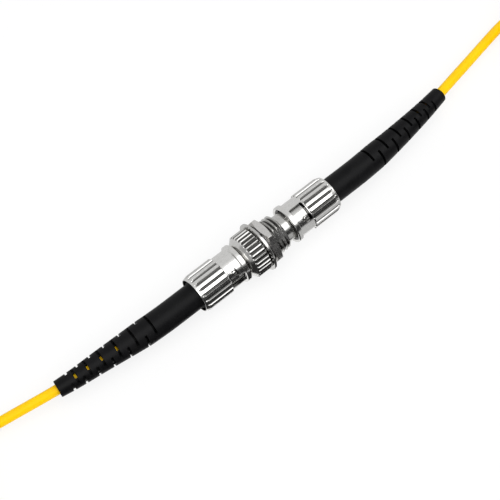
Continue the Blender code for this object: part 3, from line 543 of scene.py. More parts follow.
# Split spring washer of plain steel strip, between the panel and the hex nut. Its two
# ends are cut square at the split, and it is loose on the thread.
WASHER_IN = 4.65
WASHER_OUT = 5.15
WASHER_LEFT = -0.85
WASHER_RIGHT = -0.5
WASHER_SPLIT_DEG = 10
spring_steel = turned_metal(
    "spring_steel", (0.50, 0.50, 0.51), (0.36, 0.35, 0.34), (0.22, 0.40), 0.004 * MM)

washer_profile = eased([(WASHER_LEFT, WASHER_IN), (WASHER_LEFT, WASHER_OUT),
                        (WASHER_RIGHT, WASHER_OUT), (WASHER_RIGHT, WASHER_IN)], 0.05)
washer_mesh = turned("lock_washer", washer_profile, 120, slit_deg=WASHER_SPLIT_DEG)
washer = new_piece("lock_washer", washer_mesh, spring_steel)
settle(washer)
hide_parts("panel_lock_washer")
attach(washer, "panel_washer")

# Hex nut

# Thin panel nut sawn from hexagon bar, both faces chamfered on the lathe so that the
# six corners show curved edges. Nickel plated, tapped M9 x 1.
HEX_FLAT = 5.3
HEX_CORNER = 6.06
HEX_FACE = 5.2
HEX_BORE = 4.65
HEX_LEFT = -0.35
HEX_RIGHT = 1.55
HEX_FLAT_ROLL = math.radians(47)
HEX_SLOPE = math.tan(math.radians(30))


def hex_ring(x, direction):
    """One ring of the nut's side: on the flats, and lower on the chamfered corners."""
    def ring(roll):
        turn = (roll - HEX_FLAT_ROLL + math.pi / 6) % (math.pi / 3) - math.pi / 6
        radius = min(HEX_FLAT / math.cos(turn), HEX_CORNER)
        return (x + direction * (HEX_SLOPE * (radius - HEX_FACE)), radius)
    return ring


def hex_middle(roll):
    """The ring half way along the nut, full width all round."""
    return ((HEX_LEFT + HEX_RIGHT) / 2, hex_ring(0, 0)(roll)[1])


hex_profile = [
    (-0.25, HEX_BORE), (HEX_LEFT, 4.78), (HEX_LEFT, HEX_FACE - 0.08), (-0.33, HEX_FACE),
    hex_ring(HEX_LEFT, 1), hex_ring(HEX_LEFT + 0.06, 1), hex_middle,
    hex_ring(HEX_RIGHT - 0.06, -1), hex_ring(HEX_RIGHT, -1),
    (1.53, HEX_FACE), (HEX_RIGHT, HEX_FACE - 0.08), (HEX_RIGHT, 4.9), (1.3, HEX_BORE),
]
nut_nickel = turned_metal(
    "nut_nickel", (0.76, 0.75, 0.735), (0.68, 0.67, 0.655), (0.18, 0.30), 0.003 * MM)
hex_nut = new_piece("hex_nut", turned("hex_nut", hex_profile, 192), nut_nickel)
settle(hex_nut, smooth_deg=20)
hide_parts("panel_hex_nut")
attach(hex_nut, "panel_nut")

# What is sealed inside each plug


def make_spring(label):
    """The spring's wire, copied from its solid."""
    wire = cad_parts[f"{label}_coupling_spring"].data.copy()
    reshape(wire, lambda shape: bmesh.ops.remove_doubles(shape, verts=shape.verts, dist=0.001 * MM))
    spring = new_piece(f"{label}_spring", wire, spring_steel)
    spring.data.shade_smooth()
    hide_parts(f"{label}_coupling_spring")
    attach(spring, "adapter_and_plugs")
    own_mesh(spring)


soft_buffer = polished_ceramic("buffer_coating", (0.84, 0.82, 0.74))
for label in ("left", "right"):
    make_spring(label)
    refinish(f"{label}_ferrule", white_ceramic)
    refinish(f"{label}_fibre_buffer", soft_buffer)
    for node in ("plug_body", "crimp_sleeve"):
        refinish(f"{label}_{node}", bright_nickel)
    for node in ("thrust_washer", "retaining_clip"):
        refinish(f"{label}_{node}", spring_steel)

# Coupling nuts

# Bayonet nut of each plug, turned brass with bright plating: bell mouth and lip, a thin
# slotted body with a window and a rounded pocket for each lug, and a grip with twenty
# hollow flutes. The two slots are milled through the wall and broken at the edge.
NUT_FRONT = 7.05
NUT_REAR = 20.0
NUT_BORE = 3.7
NUT_BODY = 4.33
NUT_LIP = 4.83
LIP_REAR = 8.2
NECK = 8.4
NUT_GRIP = 4.65
GRIP_FRONT = 12.4
GRIP_REAR = 18.8
GRIP_FALL = 0.35
FLUTES = 20.0
FLUTE_DEPTH = 0.34
FLUTE_FLOOR = 4.2
FLUTE_END = 19.55
REAR_BORE = 4.10
WEB_HOLE = 2.3
WEB_FRONT = 16.8
WEB_REAR = 17.5
SLOT_POCKET_DEG = 14
SLOT_TONGUE_DEG = 19
SLOT_FAR_DEG = 52.74
SLOT_CORNER_DEG = 4
ENTRY_ROLL = math.radians(40)
ENTRY_HALF = math.radians(11.5)
ENTRY_REAR = 8.6
ENTRY_TOP = 4.5
SLOT_FRONT = 8.5
SLOT_REAR = 12.1
SLOT_CREST = 9.9
SLOT_EDGE = 0.05
# Painted shade: the flutes' grooves and what lies inside the bore go towards near black.
coupling_nickel = turned_metal(
    "coupling_nickel", (0.83, 0.825, 0.81), (0.73, 0.725, 0.705), (0.13, 0.25), 0.0028 * MM,
    groove_shade=0.93, groove_shade_from=0.06, bore=4.26 * MM)


def slot_outline():
    """Outline of one slot as (roll, x), with the lug's pocket at roll zero: a wide
    window, a tongue, and the rounded pocket."""
    half, tongue, far, corner = (math.radians(part) for part in (
        SLOT_POCKET_DEG, SLOT_TONGUE_DEG, SLOT_FAR_DEG, SLOT_CORNER_DEG))
    corner_x = corner * NUT_BORE
    outline = []
    for step in range(25):
        angle = math.pi * step / 24
        outline.append((half * math.cos(angle), SLOT_CREST - 0.25 * math.sin(angle)))
    outline += [(-tongue + corner / 2, SLOT_CREST), (-tongue, SLOT_CREST - corner_x / 2),
                (-tongue, SLOT_FRONT)]
    quarter = [math.pi / 2 * share for share in (0.0, 0.25, 0.5, 0.75, 1.0)]
    for turn in quarter:
        outline.append((-far + corner * (1 - math.sin(turn)), SLOT_FRONT + corner_x * (1 - math.cos(turn))))
    for turn in quarter:
        outline.append((-far + corner * (1 - math.cos(turn)), SLOT_REAR - corner_x * (1 - math.sin(turn))))
    outline.append((half, SLOT_REAR))
    finer = []
    for here, after in zip(outline, outline[1:] + outline[:1]):
        steps = max(1, math.ceil(abs(after[0] - here[0]) / math.radians(2.5)))
        for step in range(steps):
            share = step / steps
            finer.append(tuple(start + (end - start) * share for start, end in zip(here, after)))
    return finer


def outset(outline, amount):
    """Move an outline of (roll, x) outwards on the nut's body."""
    wide = []
    for index, (roll, x) in enumerate(outline):
        before = outline[index - 1]
        after = outline[(index + 1) % len(outline)]
        along = Vector(((after[0] - before[0]) * NUT_BODY, after[1] - before[1])).normalized()
        wide.append((roll + along.y * amount / NUT_BODY, x - along.x * amount))
    return wide


def prism(levels):
    """A closed cutter through several radii, each with its own outline."""
    vertices = [on_roll(x, radius, roll) for radius, outline in levels for roll, x in outline]
    mesh = closed_mesh("prism", vertices, wall_faces(len(levels), len(levels[0][1])))
    reshape(mesh, lambda shape: bmesh.ops.triangulate(
        shape, faces=[face for face in shape.faces if len(face.verts) > 4]))
    reshape(mesh, point_outwards)
    return mesh


def make_coupling_nut(label, side):
    """A turned nut with its flutes, then the two slots and entry ways cut through it."""
    grip_rows = [(GRIP_REAR + 0.1 * row, NUT_GRIP - GRIP_FALL * row / 12, 0) for row in range(12)]
    profile = eased([
        (NUT_FRONT, 4.63, 0.05), (NUT_FRONT + 0.2, NUT_LIP, 0.06), (LIP_REAR, NUT_LIP, 0.06),
        (NECK, NUT_BODY, 0.05), (GRIP_FRONT - 0.2, NUT_BODY, 0.04), (GRIP_FRONT, NUT_GRIP, 0.05),
        (GRIP_FRONT + 0.3, NUT_GRIP, 0), *grip_rows, (NUT_REAR, 4.30, 0.06), (NUT_REAR, REAR_BORE, 0.06),
        (WEB_REAR, REAR_BORE), (WEB_REAR, WEB_HOLE), (WEB_FRONT, WEB_HOLE), (WEB_FRONT, NUT_BORE),
        (NUT_FRONT + 0.75, NUT_BORE, 0.15), (NUT_FRONT, 4.45, 0.04),
    ])
    mesh = turned(f"{label}_nut", profile, 400,
                  cut=lambda x, radius: GRIP_FRONT - 0.2 < x < FLUTE_END and radius > FLUTE_FLOOR)
    nut = new_piece(f"{label}_nut", mesh, coupling_nickel)
    run_tree(nut, ridges, coupling_nickel, {
        "Starts": FLUTES, "Twist": 0.0, "Crest": NUT_GRIP * MM, "Depth": FLUTE_DEPTH * MM,
        "Land": 0.58, "Flank": 0.42, "Round": 1.0, "Flat": 1.0, "Flat roll": 0.0})
    for turn in (0.0, math.pi):
        roll = side * LUG_ROLL + turn
        outline = [(roll + angle, x) for angle, x in slot_outline()]
        wide = outset(outline, 2 * SLOT_EDGE)
        carve(nut, prism([(NUT_BORE - 0.3, outline), (NUT_BODY - SLOT_EDGE, outline),
                          (NUT_BODY + SLOT_EDGE, wide), (NUT_BODY + 1.0, wide)]))
        sweep = [roll - ENTRY_ROLL + ENTRY_HALF * (step / 6 - 1) for step in range(13)]
        entry = [(angle, NUT_FRONT - 0.2) for angle in sweep]
        entry += [(angle, ENTRY_REAR) for angle in reversed(sweep)]
        carve(nut, prism([(NUT_BORE - 0.3, entry), (ENTRY_TOP, entry)]))
    settle(nut, side, 30)
    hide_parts(f"{label}_coupling_nut")
    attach(nut, f"{label}_nut")


for label, side in (("left", -1), ("right", 1)):
    make_coupling_nut(label, side)

# Boots

# Strain relief moulded in black rubber, pushed over the crimp sleeve: a flared base, then
# a taper with twelve pairs of slots, each a quarter turn on from the last. A thin web
# closes them inside, and every other pair towards the tip is open in its middle.
LEFT_ROUTE = [
    (-2, 0, 0), (2, 0, 0), (6, 0, 0), (10, 0.06, 0), (15, 0.32, 0.004), (20, 0.70, 0.012),
    (26, 1.20, 0.032), (32, 1.66, 0.075), (37, 2.32, 0.14), (42, 3.18, 0.23), (47, 4.12, 0.33),
    (52, 5.10, 0.46), (57, 6.22, 0.63), (62, 7.42, 0.82), (66, 8.36, 0.95), (70, 9.12, 1.0),
    (74, 9.60, 1.0), (77, 9.70, 1.0),
]
RIGHT_ROUTE = [
    (-2, 0, 0), (2, 0, 0), (6, 0, 0), (10, 0.06, 0), (15, 0.32, 0.004), (20, 0.70, 0.012),
    (26, 1.32, 0.035), (32, 2.12, 0.085), (38, 3.20, 0.17), (44, 4.45, 0.28), (50, 5.72, 0.41),
    (56, 7.05, 0.56), (62, 8.34, 0.72), (66, 9.02, 0.84), (70, 9.44, 0.97), (73, 9.62, 1.0),
    (76, 9.69, 1.0), (79, 9.70, 1.0),
]
ROUTE_FINE = 12
CORD = 1.2
BOOT_START = 2.0
BOOT_BASE = -1.25
BOOT_END = {"left": 36.9, "right": 37.8}
BOOT_ROLL = {"left": 0.0, "right": -25.0}
BOOT_MOUTH = 3.7
BOOT_FLARE = 1.7
BOOT_BEAD = 0.1
BEAD_FRONT = -0.5
BEAD_REAR = -0.2
BOOT_GRIP = 3.2
TAPER_START = 14.5
TAPER_LENGTH = 22.4
TAPER_FALL = 1.2
SLEEVE_FIT = 2.63
SLEEVE_STEP = 1.83
STEP_START = 4.6
STEP_LENGTH = 0.7
SLEEVE_REAR = 8.3
CORD_FIT = 1.38
BOOT_WEB = 0.35
BOOT_SLOTS = 12
FIRST_SLOT = 12.4
SLOT_SPAN = 21.3
SLOT_CLOSING = 0.41
SLOT_HALF = 0.3
SLOT_REACH = 5 / 32
OPEN_REACH = 1 / 16
FIRST_THROUGH = {"left": 4, "right": 8}


def route_places(label, side):
    """The cord's route in metres: a smooth curve through its points."""
    drop = AXIS - CORD * MM
    points = [Vector((side * (20 + back) * MM, across * MM, AXIS - share * drop))
              for back, across, share in (LEFT_ROUTE if label == "left" else RIGHT_ROUTE)]
    padded = [2 * points[0] - points[1]] + points + [2 * points[-1] - points[-2]]
    places = []
    for index in range(1, len(padded) - 2):
        before, start, end, after = padded[index - 1:index + 3]
        for step in range(ROUTE_FINE):
            t = step / ROUTE_FINE
            places.append(0.5 * ((2 * start) + (end - before) * t
                                 + (2 * before - 5 * start + 4 * end - after) * t ** 2
                                 + (3 * start - before - 3 * end + after) * t ** 3))
    places.append(points[-1])
    return places


def walk(places, distances):
    """Places and directions at rising distances along a run of places."""
    found = []
    index = 0
    behind = 0.0
    for distance in distances:
        while index < len(places) - 2 and behind + (places[index + 1] - places[index]).length < distance:
            behind += (places[index + 1] - places[index]).length
            index += 1
        step = places[index + 1] - places[index]
        found.append((places[index] + step * ((distance - behind) / step.length), step.normalized()))
    return found


def eased_share(value):
    """A value held between nought and one, with a soft start and end."""
    share = min(max(value, 0.0), 1.0)
    return share * share * (3 - 2 * share)


def boot_radius(back):
    """Outer radius of the boot at a distance behind the coupling nut's rear."""
    if back < BOOT_BASE + BOOT_FLARE:
        bead = BOOT_BEAD if BEAD_FRONT < back < BEAD_REAR else 0.0
        return BOOT_MOUTH + bead - (BOOT_MOUTH - BOOT_GRIP) * eased_share((back - BOOT_BASE) / BOOT_FLARE)
    return BOOT_GRIP - TAPER_FALL * max(back - TAPER_START, 0.0) / TAPER_LENGTH


def bore_radius(back):
    """Bore of the boot: wide over the crimp sleeve, then close to the cord."""
    if back < SLEEVE_REAR:
        share = min(max((back - STEP_START) / STEP_LENGTH, 0.0), 1.0)
        return SLEEVE_FIT + (SLEEVE_STEP - SLEEVE_FIT) * share
    return CORD_FIT


def moulded_rubber(name):
    """Satin black rubber: a fine mould texture, faint flow marks and a little dust."""
    material, tree, shader, place = new_material(name)
    grain = noise(tree, place, 9000.0, 3.0, 0.6)
    flow = noise(tree, place, 300.0, 3.0, 0.5)
    dust = spread(tree, noise(tree, place, 5200.0, 2.0, 0.5), 0.66, 0.78, 0.0, 0.35)
    tone = blend_colours(tree, spread(tree, flow, 0.3, 0.7, 0.0, 1.0), (0.0035, 0.0035, 0.004),
                         (0.006, 0.006, 0.0065))
    texture = raised(tree, grain, 0.010 * MM)
    fill(tree, shader, {
        "Base Color": blend_colours(tree, dust, tone, (0.06, 0.06, 0.06)),
        "Roughness": spread(tree, flow, 0.3, 0.7, 0.36, 0.5), "Specular IOR Level": 0.1,
        "Normal": raised(tree, flow, 0.03 * MM, under=texture)})
    return material


black_rubber = moulded_rubber("black_rubber")
pitches = [1 - SLOT_CLOSING * step / (BOOT_SLOTS - 2) for step in range(BOOT_SLOTS - 1)]
slot_places = [FIRST_SLOT + SLOT_SPAN * sum(pitches[:slot]) / sum(pitches) for slot in range(BOOT_SLOTS)]


def boot_rings(tip):
    """The boot's rings: place along it, outer radius, bore, and the pair of slots that
    starts there."""
    rows = [(back, None) for back in (
        BOOT_BASE + 0.08, BOOT_BASE + 0.25, -0.6, -0.45, -0.25, -0.1, 0.2, 0.46, 1.5, 3.0, 4.5, 4.7,
        5.3, 6.6, 8.0, 8.2, 8.4, 10.2)]
    for number, place in enumerate(slot_places):
        rows += [(place - SLOT_HALF, number), (place + SLOT_HALF, None), (place + 0.95, None)]
    rows += [(tip - back, None) for back in (1.6, 0.8, 0.25, 0.08)]
    return [(BOOT_BASE, boot_radius(BOOT_BASE) - 0.10, SLEEVE_FIT, None),
            *((back, boot_radius(back), bore_radius(back), slot) for back, slot in rows),
            (tip, boot_radius(tip) - 0.10, CORD_FIT + 0.04, None)]


def make_boot(label, side):
    """A boot of three walls along the route: outside, web and bore. Each cell of the
    grid is cut down to one of them."""
    around = 64
    rings = boot_rings(BOOT_END[label])
    stations = walk(route_places(label, side), [BOOT_START * MM + back * MM for back, *_ in rings])
    roll = math.radians(BOOT_ROLL[label])
    vertices = []
    for (back, outer, bore, _), (centre, along) in zip(rings, stations):
        up = (Vector((0, 0, 1)) - along * along.z).normalized()
        over = Vector((0, -1, 0)) - along * -along.y
        over = (over - up * over.dot(up)).normalized()
        for radius in (outer, bore + BOOT_WEB, bore):
            for step in range(around):
                angle = roll + 2 * math.pi * step / around
                vertices.append(centre + (up * math.cos(angle) + over * math.sin(angle)) * radius * MM)

    def vertex(ring, wall, step):
        """Number of a point, from its ring, its wall and its step round."""
        return ring * 3 * around + wall * around + step % around

    def depth(ring, step):
        """Which wall a place is cut down to: none, the web, or right through."""
        if ring < 0 or ring >= len(rings) - 1:
            return 2
        slot = rings[ring][3]
        if slot is None:
            return 0
        middle = (step % around + 0.5 - slot % 2 * around / 4) % (around / 2)
        middle = min(middle, around / 2 - middle)
        if middle >= around * SLOT_REACH:
            return 0
        opened = slot % 2 == 0 and slot >= FIRST_THROUGH[label]
        return 2 if opened and middle < around * OPEN_REACH else 1

    faces = []
    for ring in range(len(rings)):
        for step in range(around):
            here = depth(ring, step)
            if here < 2:
                for wall in (here, 2):
                    faces.append((vertex(ring, wall, step), vertex(ring + 1, wall, step),
                                  vertex(ring + 1, wall, step + 1), vertex(ring, wall, step + 1)))
            across = depth(ring - 1, step)
            for wall in range(min(here, across), max(here, across)):
                faces.append((vertex(ring, wall, step), vertex(ring, wall, step + 1),
                              vertex(ring, wall + 1, step + 1), vertex(ring, wall + 1, step)))
            beside = depth(ring, step - 1)
            if ring < len(rings) - 1:
                for wall in range(min(here, beside), max(here, beside)):
                    faces.append((vertex(ring, wall, step), vertex(ring + 1, wall, step),
                                  vertex(ring + 1, wall + 1, step), vertex(ring, wall + 1, step)))
    mesh = closed_mesh(f"{label}_sleeve_boot", vertices, faces)
    reshape(mesh, lambda shape: bmesh.ops.delete(
        shape, geom=[point for point in shape.verts if not point.link_faces], context="VERTS"))
    boot = new_piece(f"{label}_sleeve_boot", mesh, black_rubber)
    shade(mesh, 40)
    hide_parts(f"{label}_boot")
    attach(boot, "adapter_and_plugs")
    return boot


boots = {label: make_boot(label, side) for label, side in (("left", -1), ("right", 1))}

# Cords

# Simplex fibre cord, a yellow PVC jacket over yarn and a coated fibre, held by the crimp
# sleeve. Each is one metre long. What the picture doesn't show is folded into a hank, two
# cords wide and four high, held by a strap, and ends bare, as a pigtail's far end does.
CORD_LENGTH = 1000.0
CORD_START = 4.3
CORD_SIDES = 20
CORD_STEP = 1.2
HANK_START = 3.0
HANK_RUN = 37.0
HANK_FOLD = 8.4
HANK_TURN = 2 * HANK_RUN + 2 * math.pi * HANK_FOLD
# Where each turn moves a cord's width inwards or outwards, or climbs a layer: the turn,
# the distance round it, the move in width and the move in height.
HANK_MOVES = [
    (0, 91.4, -1, 0), (1, 77.4, 0, 1), (2, 63.4, 1, 0), (3, 51.4, 0, 1), (4, 38.0, -1, 0),
    (5, 24.5, 0, 1), (6, 11.0, 1, 0), (7, -2.0, 0, 1),
]
HANK_MOVE = 12.0
HANK_WAIST = 0.5
WAIST_REACH = 16
WAIST_FADE = 10
STRAP_HALF = 3.0
STRAP_THICK = 0.36
STRAP_CORNER = 1.3
STRAP_BREAK = 0.1
YARN_STRANDS = 14
YARN_RING = 0.75
YARN_LENGTH = 4.5
YARN_THICKNESS = 0.09
FIBRE_RADIUS = 0.45


def hank_place(near, side, distance):
    """A place on the hank, at a distance round its mean line from the end of the near
    fold, whose centre is given. The strap pulls the run that it holds in a little."""
    width = 1.0
    layer = 0.0
    for turn, begin, wider, higher in HANK_MOVES:
        share = eased_share((distance - turn * HANK_TURN - begin) / HANK_MOVE)
        width += wider * 2 * share
        layer += higher * share
    radius = HANK_FOLD + width * CORD
    round_it = distance % HANK_TURN
    fold = math.pi * HANK_FOLD
    if round_it < HANK_RUN:
        x, y = round_it, radius
    elif round_it < HANK_RUN + fold:
        angle = (round_it - HANK_RUN) / HANK_FOLD
        x, y = HANK_RUN + radius * math.sin(angle), radius * math.cos(angle)
    elif round_it < 2 * HANK_RUN + fold:
        x = 2 * HANK_RUN + fold - round_it
        y = HANK_WAIST * eased_share((WAIST_REACH - abs(x - HANK_RUN / 2)) / WAIST_FADE) - radius
    else:
        angle = (round_it - 2 * HANK_RUN - fold) / HANK_FOLD
        x, y = -radius * math.sin(angle), -radius * math.cos(angle)
    return Vector((near.x + side * x * MM, near.y + y * MM, (CORD + layer * 2 * CORD) * MM))


def cord_places(label, side):
    """The whole centreline: the route, then the folded turns that it runs on to. The places
    past the cord's end, where its bare fibre goes on, are given apart."""
    route = route_places(label, side)
    length = sum((after - before).length for before, after in zip(route, route[1:]))
    start = (BOOT_START + CORD_START) * MM
    count = math.ceil((length - start) / (CORD_STEP * MM))
    places = [place for place, _ in walk(route, [start + (length - start) * step / count
                                                 for step in range(count + 1)])]
    near = route[-1] - Vector((side * HANK_START, HANK_FOLD + CORD, 0)) * MM
    reach = sum((after - before).length for before, after in zip(places, places[1:]))
    distance = HANK_START
    while reach < CORD_LENGTH * MM:
        distance += CORD_STEP
        place = hank_place(near, side, distance)
        reach += (place - places[-1]).length
        places.append(place)
    beyond = [hank_place(near, side, distance + step * CORD_STEP) for step in range(1, 6)]
    return places, beyond, near


def turn_out(shape):
    """Reverse a shell that has come inside out."""
    if shape.calc_volume(signed=True) < 0:
        bmesh.ops.reverse_faces(shape, faces=shape.faces)


def tube(name, places, radius, sides):
    """A round tube along a run of places, with a UV map: round it, and along it in
    metres. Its ends are closed."""
    vertices = []
    lengths = [0.0]
    up = Vector((0, 0, 1))
    for index, place in enumerate(places):
        before = places[max(index - 1, 0)]
        after = places[min(index + 1, len(places) - 1)]
        along = (after - before).normalized()
        up = (up - along * up.dot(along)).normalized()
        over = along.cross(up)
        if index:
            lengths.append(lengths[-1] + (place - before).length)
        for step in range(sides):
            angle = 2 * math.pi * step / sides
            vertices.append(place + (up * math.cos(angle) + over * math.sin(angle)) * radius)
    last = len(places) - 1
    faces = band_faces(last, sides, len(places))
    faces += [list(reversed(range(sides))), [last * sides + step for step in range(sides)]]
    corners = []
    for index in range(last):
        for step in range(sides):
            corners += [(step, index), (step + 1, index), (step + 1, index + 1), (step, index + 1)]
    corners += [(0, 0)] * sides + [(0, last)] * sides
    mesh = bpy.data.meshes.new(name)
    mesh.from_pydata(vertices, [], faces)
    layer = mesh.uv_layers.new(name="UVMap")
    for loop, (step, index) in enumerate(corners):
        layer.data[loop].uv = (step / sides, lengths[index])
    reshape(mesh, turn_out)
    shade(mesh, 60)
    return mesh


def extruded_jacket(name):
    """Yellow PVC jacket: drawn-out streaks, a slight orange peel, and faint scuffs."""
    material, tree, shader, place = new_material(name)
    flat = add_node(tree, "ShaderNodeUVMap", uv_map="UVMap").outputs[0]
    stretch = add_node(tree, "ShaderNodeMapping", {"Vector": flat, "Scale": (26.0, 160.0, 1.0)})
    streaks = noise(tree, stretch.outputs[0], 1.0, 3.0, 0.6)
    peel = noise(tree, place, 3800.0, 2.0, 0.5)
    cloud = noise(tree, place, 160.0, 3.0, 0.5)
    scuff = spread(tree, noise(tree, place, 1100.0, 4.0, 0.7), 0.62, 0.74, 0.0, 0.3)
    tone = blend_colours(tree, spread(tree, cloud, 0.3, 0.7, 0.0, 1.0), (1.0, 0.640, 0.001),
                         (1.0, 0.575, 0.001))
    drawn = raised(tree, streaks, 0.010 * MM)
    fill(tree, shader, {
        "Base Color": blend_colours(tree, scuff, tone, (0.95, 0.50, 0.004)),
        "Roughness": spread(tree, streaks, 0.3, 0.7, 0.34, 0.46), "Specular IOR Level": 0.12,
        "Normal": raised(tree, peel, 0.008 * MM, under=drawn),
        "Subsurface Weight": 0.05, "Subsurface Radius": (0.0006, 0.0004, 0.0001)})
    return material


def yarn_tree():
    """A tuft of cut yarn: strands on a small ring, each a little bent and turned."""
    tree, source, result = new_tree("Cut yarn", [
        ("Strands", "Int"), ("Ring", "Float"), ("Length", "Float"), ("Thickness", "Float"), ("Seed", "Int")])
    calc = sums(tree)
    ring = add_node(tree, "GeometryNodeMeshCircle",
                    {"Vertices": source["Strands"], "Radius": source["Ring"]})
    end = add_node(tree, "ShaderNodeCombineXYZ", {2: source["Length"]})
    line = add_node(tree, "GeometryNodeCurvePrimitiveLine", {"End": end.outputs[0]})
    points = add_node(tree, "GeometryNodeResampleCurve", {"Curve": line.outputs[0], "Count": 7})
    position = add_node(tree, "GeometryNodeInputPosition").outputs[0]
    height = add_node(tree, "ShaderNodeSeparateXYZ", {0: position}).outputs[2]
    reach = calc("DIVIDE", height, source["Length"])
    lean = calc("MULTIPLY", calc("MULTIPLY", reach, reach), source["Length"])
    sway = calc("MULTIPLY", calc("SINE", calc("MULTIPLY", reach, 5.0)), calc("MULTIPLY", lean, 0.05))
    bend = add_node(tree, "ShaderNodeCombineXYZ", {0: calc("MULTIPLY", lean, 0.14), 1: sway})
    bent = add_node(tree, "GeometryNodeSetPosition",
                    {"Geometry": points.outputs[0], "Offset": bend.outputs[0]})
    section = add_node(tree, "GeometryNodeCurvePrimitiveCircle",
                       {"Resolution": 5, "Radius": source["Thickness"]})
    strand = add_node(tree, "GeometryNodeCurveToMesh", {
        "Curve": bent.outputs[0], "Profile Curve": section.outputs[0], "Fill Caps": True})
    turn = add_node(tree, "FunctionNodeRandomValue", {
        0: (-0.10, -0.10, 0.0), 1: (0.10, 0.10, 6.28), "Seed": source["Seed"]}, data_type="FLOAT_VECTOR")
    size = add_node(tree, "FunctionNodeRandomValue", {2: 0.7, 3: 1.0, "Seed": source["Seed"]})
    copies = add_node(tree, "GeometryNodeInstanceOnPoints", {
        "Points": ring.outputs[0], "Instance": strand.outputs[0],
        "Rotation": turn.outputs[0], "Scale": size.outputs[1]})
    tree.links.new(copies.outputs[0], result)
    return tree


def woven_strap(name):
    """Black hook-and-loop tape: a dense pile of loops over a fine weave."""
    material, tree, shader, place = new_material(name)
    weave = add_node(tree, "ShaderNodeTexVoronoi", {"Vector": place, "Scale": 3600.0}).outputs["Distance"]
    loops = noise(tree, place, 5200.0, 3.0, 0.7)
    woven = raised(tree, weave, 0.09 * MM)
    fill(tree, shader, {
        "Base Color": blend_colours(tree, spread(tree, loops, 0.35, 0.7, 0.0, 1.0),
                                    (0.012, 0.012, 0.013), (0.05, 0.05, 0.052)),
        "Roughness": 0.9, "Sheen Weight": 0.4,
        "Normal": raised(tree, loops, 0.05 * MM, under=woven)})
    return material


def make_strap(label, side, near, run_y):
    """A strap round one run of the hank: a rounded loop, and its end lapped on top."""
    half = 2 * CORD + 0.06 - STRAP_CORNER
    low = STRAP_THICK
    high = 8 * CORD + 0.12
    middle_x = HANK_RUN * 0.5

    def place(across, y, z):
        """A point in metres, from millimetres from the middle of the strapped run."""
        return ((near.x / MM + side * (middle_x + across)) * MM, (near.y / MM + run_y + y) * MM, z * MM)

    rows = [(-STRAP_HALF, 0.0), (-STRAP_HALF, STRAP_THICK - STRAP_BREAK), (-2.85, STRAP_THICK),
            (2.85, STRAP_THICK), (STRAP_HALF, STRAP_THICK - STRAP_BREAK), (STRAP_HALF, 0.0)]
    vertices = []
    for middle_y, middle_z, begin in ((half, low + STRAP_CORNER, -90), (half, high - STRAP_CORNER, 0),
                                      (-half, high - STRAP_CORNER, 90), (-half, low + STRAP_CORNER, 180)):
        for step in range(9):
            angle = math.radians(begin + 90 * step / 8)
            for across, height in rows:
                reach = STRAP_CORNER + height
                vertices.append(place(across, middle_y + reach * math.cos(angle),
                                      max(0.0, middle_z + reach * math.sin(angle))))
    stations = len(vertices) // len(rows)
    faces = band_faces(stations, len(rows), stations)
    count = len(vertices)
    lap = [(-1.9, 0.0), (-1.9, 0.42), (0.4, 0.45), (2.2, 0.38), (2.6, 0.2), (2.6, 0.0)]
    for across in (-2.9, 2.9):
        vertices += [place(across, y, high + STRAP_THICK - 0.03 + height) for y, height in lap]
    faces += [[count + corner for corner in face] for face in wall_faces(2, len(lap))]
    name = f"{label}_hank_strap"
    strap = new_piece(name, closed_mesh(name, vertices, faces), strap_cloth)
    shade(strap.data, 40)
    return strap


strap_cloth = woven_strap("strap_cloth")
yellow_jacket = extruded_jacket("yellow_jacket")
yarn = polished_ceramic("yarn", (0.80, 0.66, 0.30))
cut_yarn = yarn_tree()


def make_cord(label, side, seed):
    """One cord along its route and hank, its bare end, and the strap."""
    places, beyond, near = cord_places(label, side)
    cord = new_piece(f"{label}_jacket", tube(f"{label}_jacket", places, CORD * MM, CORD_SIDES), yellow_jacket)
    end = places[-1]
    along = (beyond[2] - end).normalized()
    fibre_mesh = tube(f"{label}_fibre_end", [places[-2], end, *beyond], FIBRE_RADIUS * MM, 16)
    fibre = new_piece(f"{label}_fibre_end", fibre_mesh, soft_buffer)
    tuft = new_piece(f"{label}_yarn_end", bpy.data.meshes.new(f"{label}_yarn_end"), yarn)
    run_tree(tuft, cut_yarn, yarn, {
        "Strands": YARN_STRANDS, "Ring": YARN_RING * MM, "Length": YARN_LENGTH * MM,
        "Thickness": YARN_THICKNESS * MM, "Seed": seed})
    settle(tuft)
    turn = along.to_track_quat("Z", "Y").to_matrix().to_4x4()
    seat = Matrix.Translation(end - along * 0.5 * MM)
    tuft.data.transform(seat @ turn @ Matrix.Translation((0, 0, -AXIS)))
    strap = make_strap(label, side, near, HANK_WAIST - HANK_FOLD)
    for piece, slot in ((cord, "yellow_jacket"), (fibre, "buffer_coating"), (tuft, "yellow_jacket"),
                        (strap, "black_rubber")):
        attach(piece, "adapter_and_plugs")
    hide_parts(f"{label}_cord", f"{label}_cord_hank")


make_cord("left", -1, 3)
make_cord("right", 1, 8)

# Studio

# White floor that keeps the soft shadow, a white world, and one large lamp overhead. The
# metal's bands come from cards that only reflections meet: dark on the camera's side, with
# grey floor there from the right plug's slots on, grey behind, and grey past both ends.
FLOOR_REACH = 3
FLOOR_DROP = -0.00002
FLOOR_GLOW = 0.78
SKY_STRENGTH = 0.52
CARD_REACH = 0.35
CARD_SIDE = 0.0064
CARD_HALF = 0.5
CARD_LIFT = 0.0003
CARD_STEPS = 16
STRIP_START = 0.009
END_BOTTOM = 0.001
END_TOP = 0.36


def sees(tree):
    """One for the rays that should meet plain white: from the camera, a reflection, or
    through something clear."""
    rays = tree.nodes.new("ShaderNodeLightPath").outputs
    either = sum_of(tree, "MAXIMUM", rays["Is Camera Ray"], rays["Is Glossy Ray"])
    return sum_of(tree, "MAXIMUM", either, rays["Is Transmission Ray"])


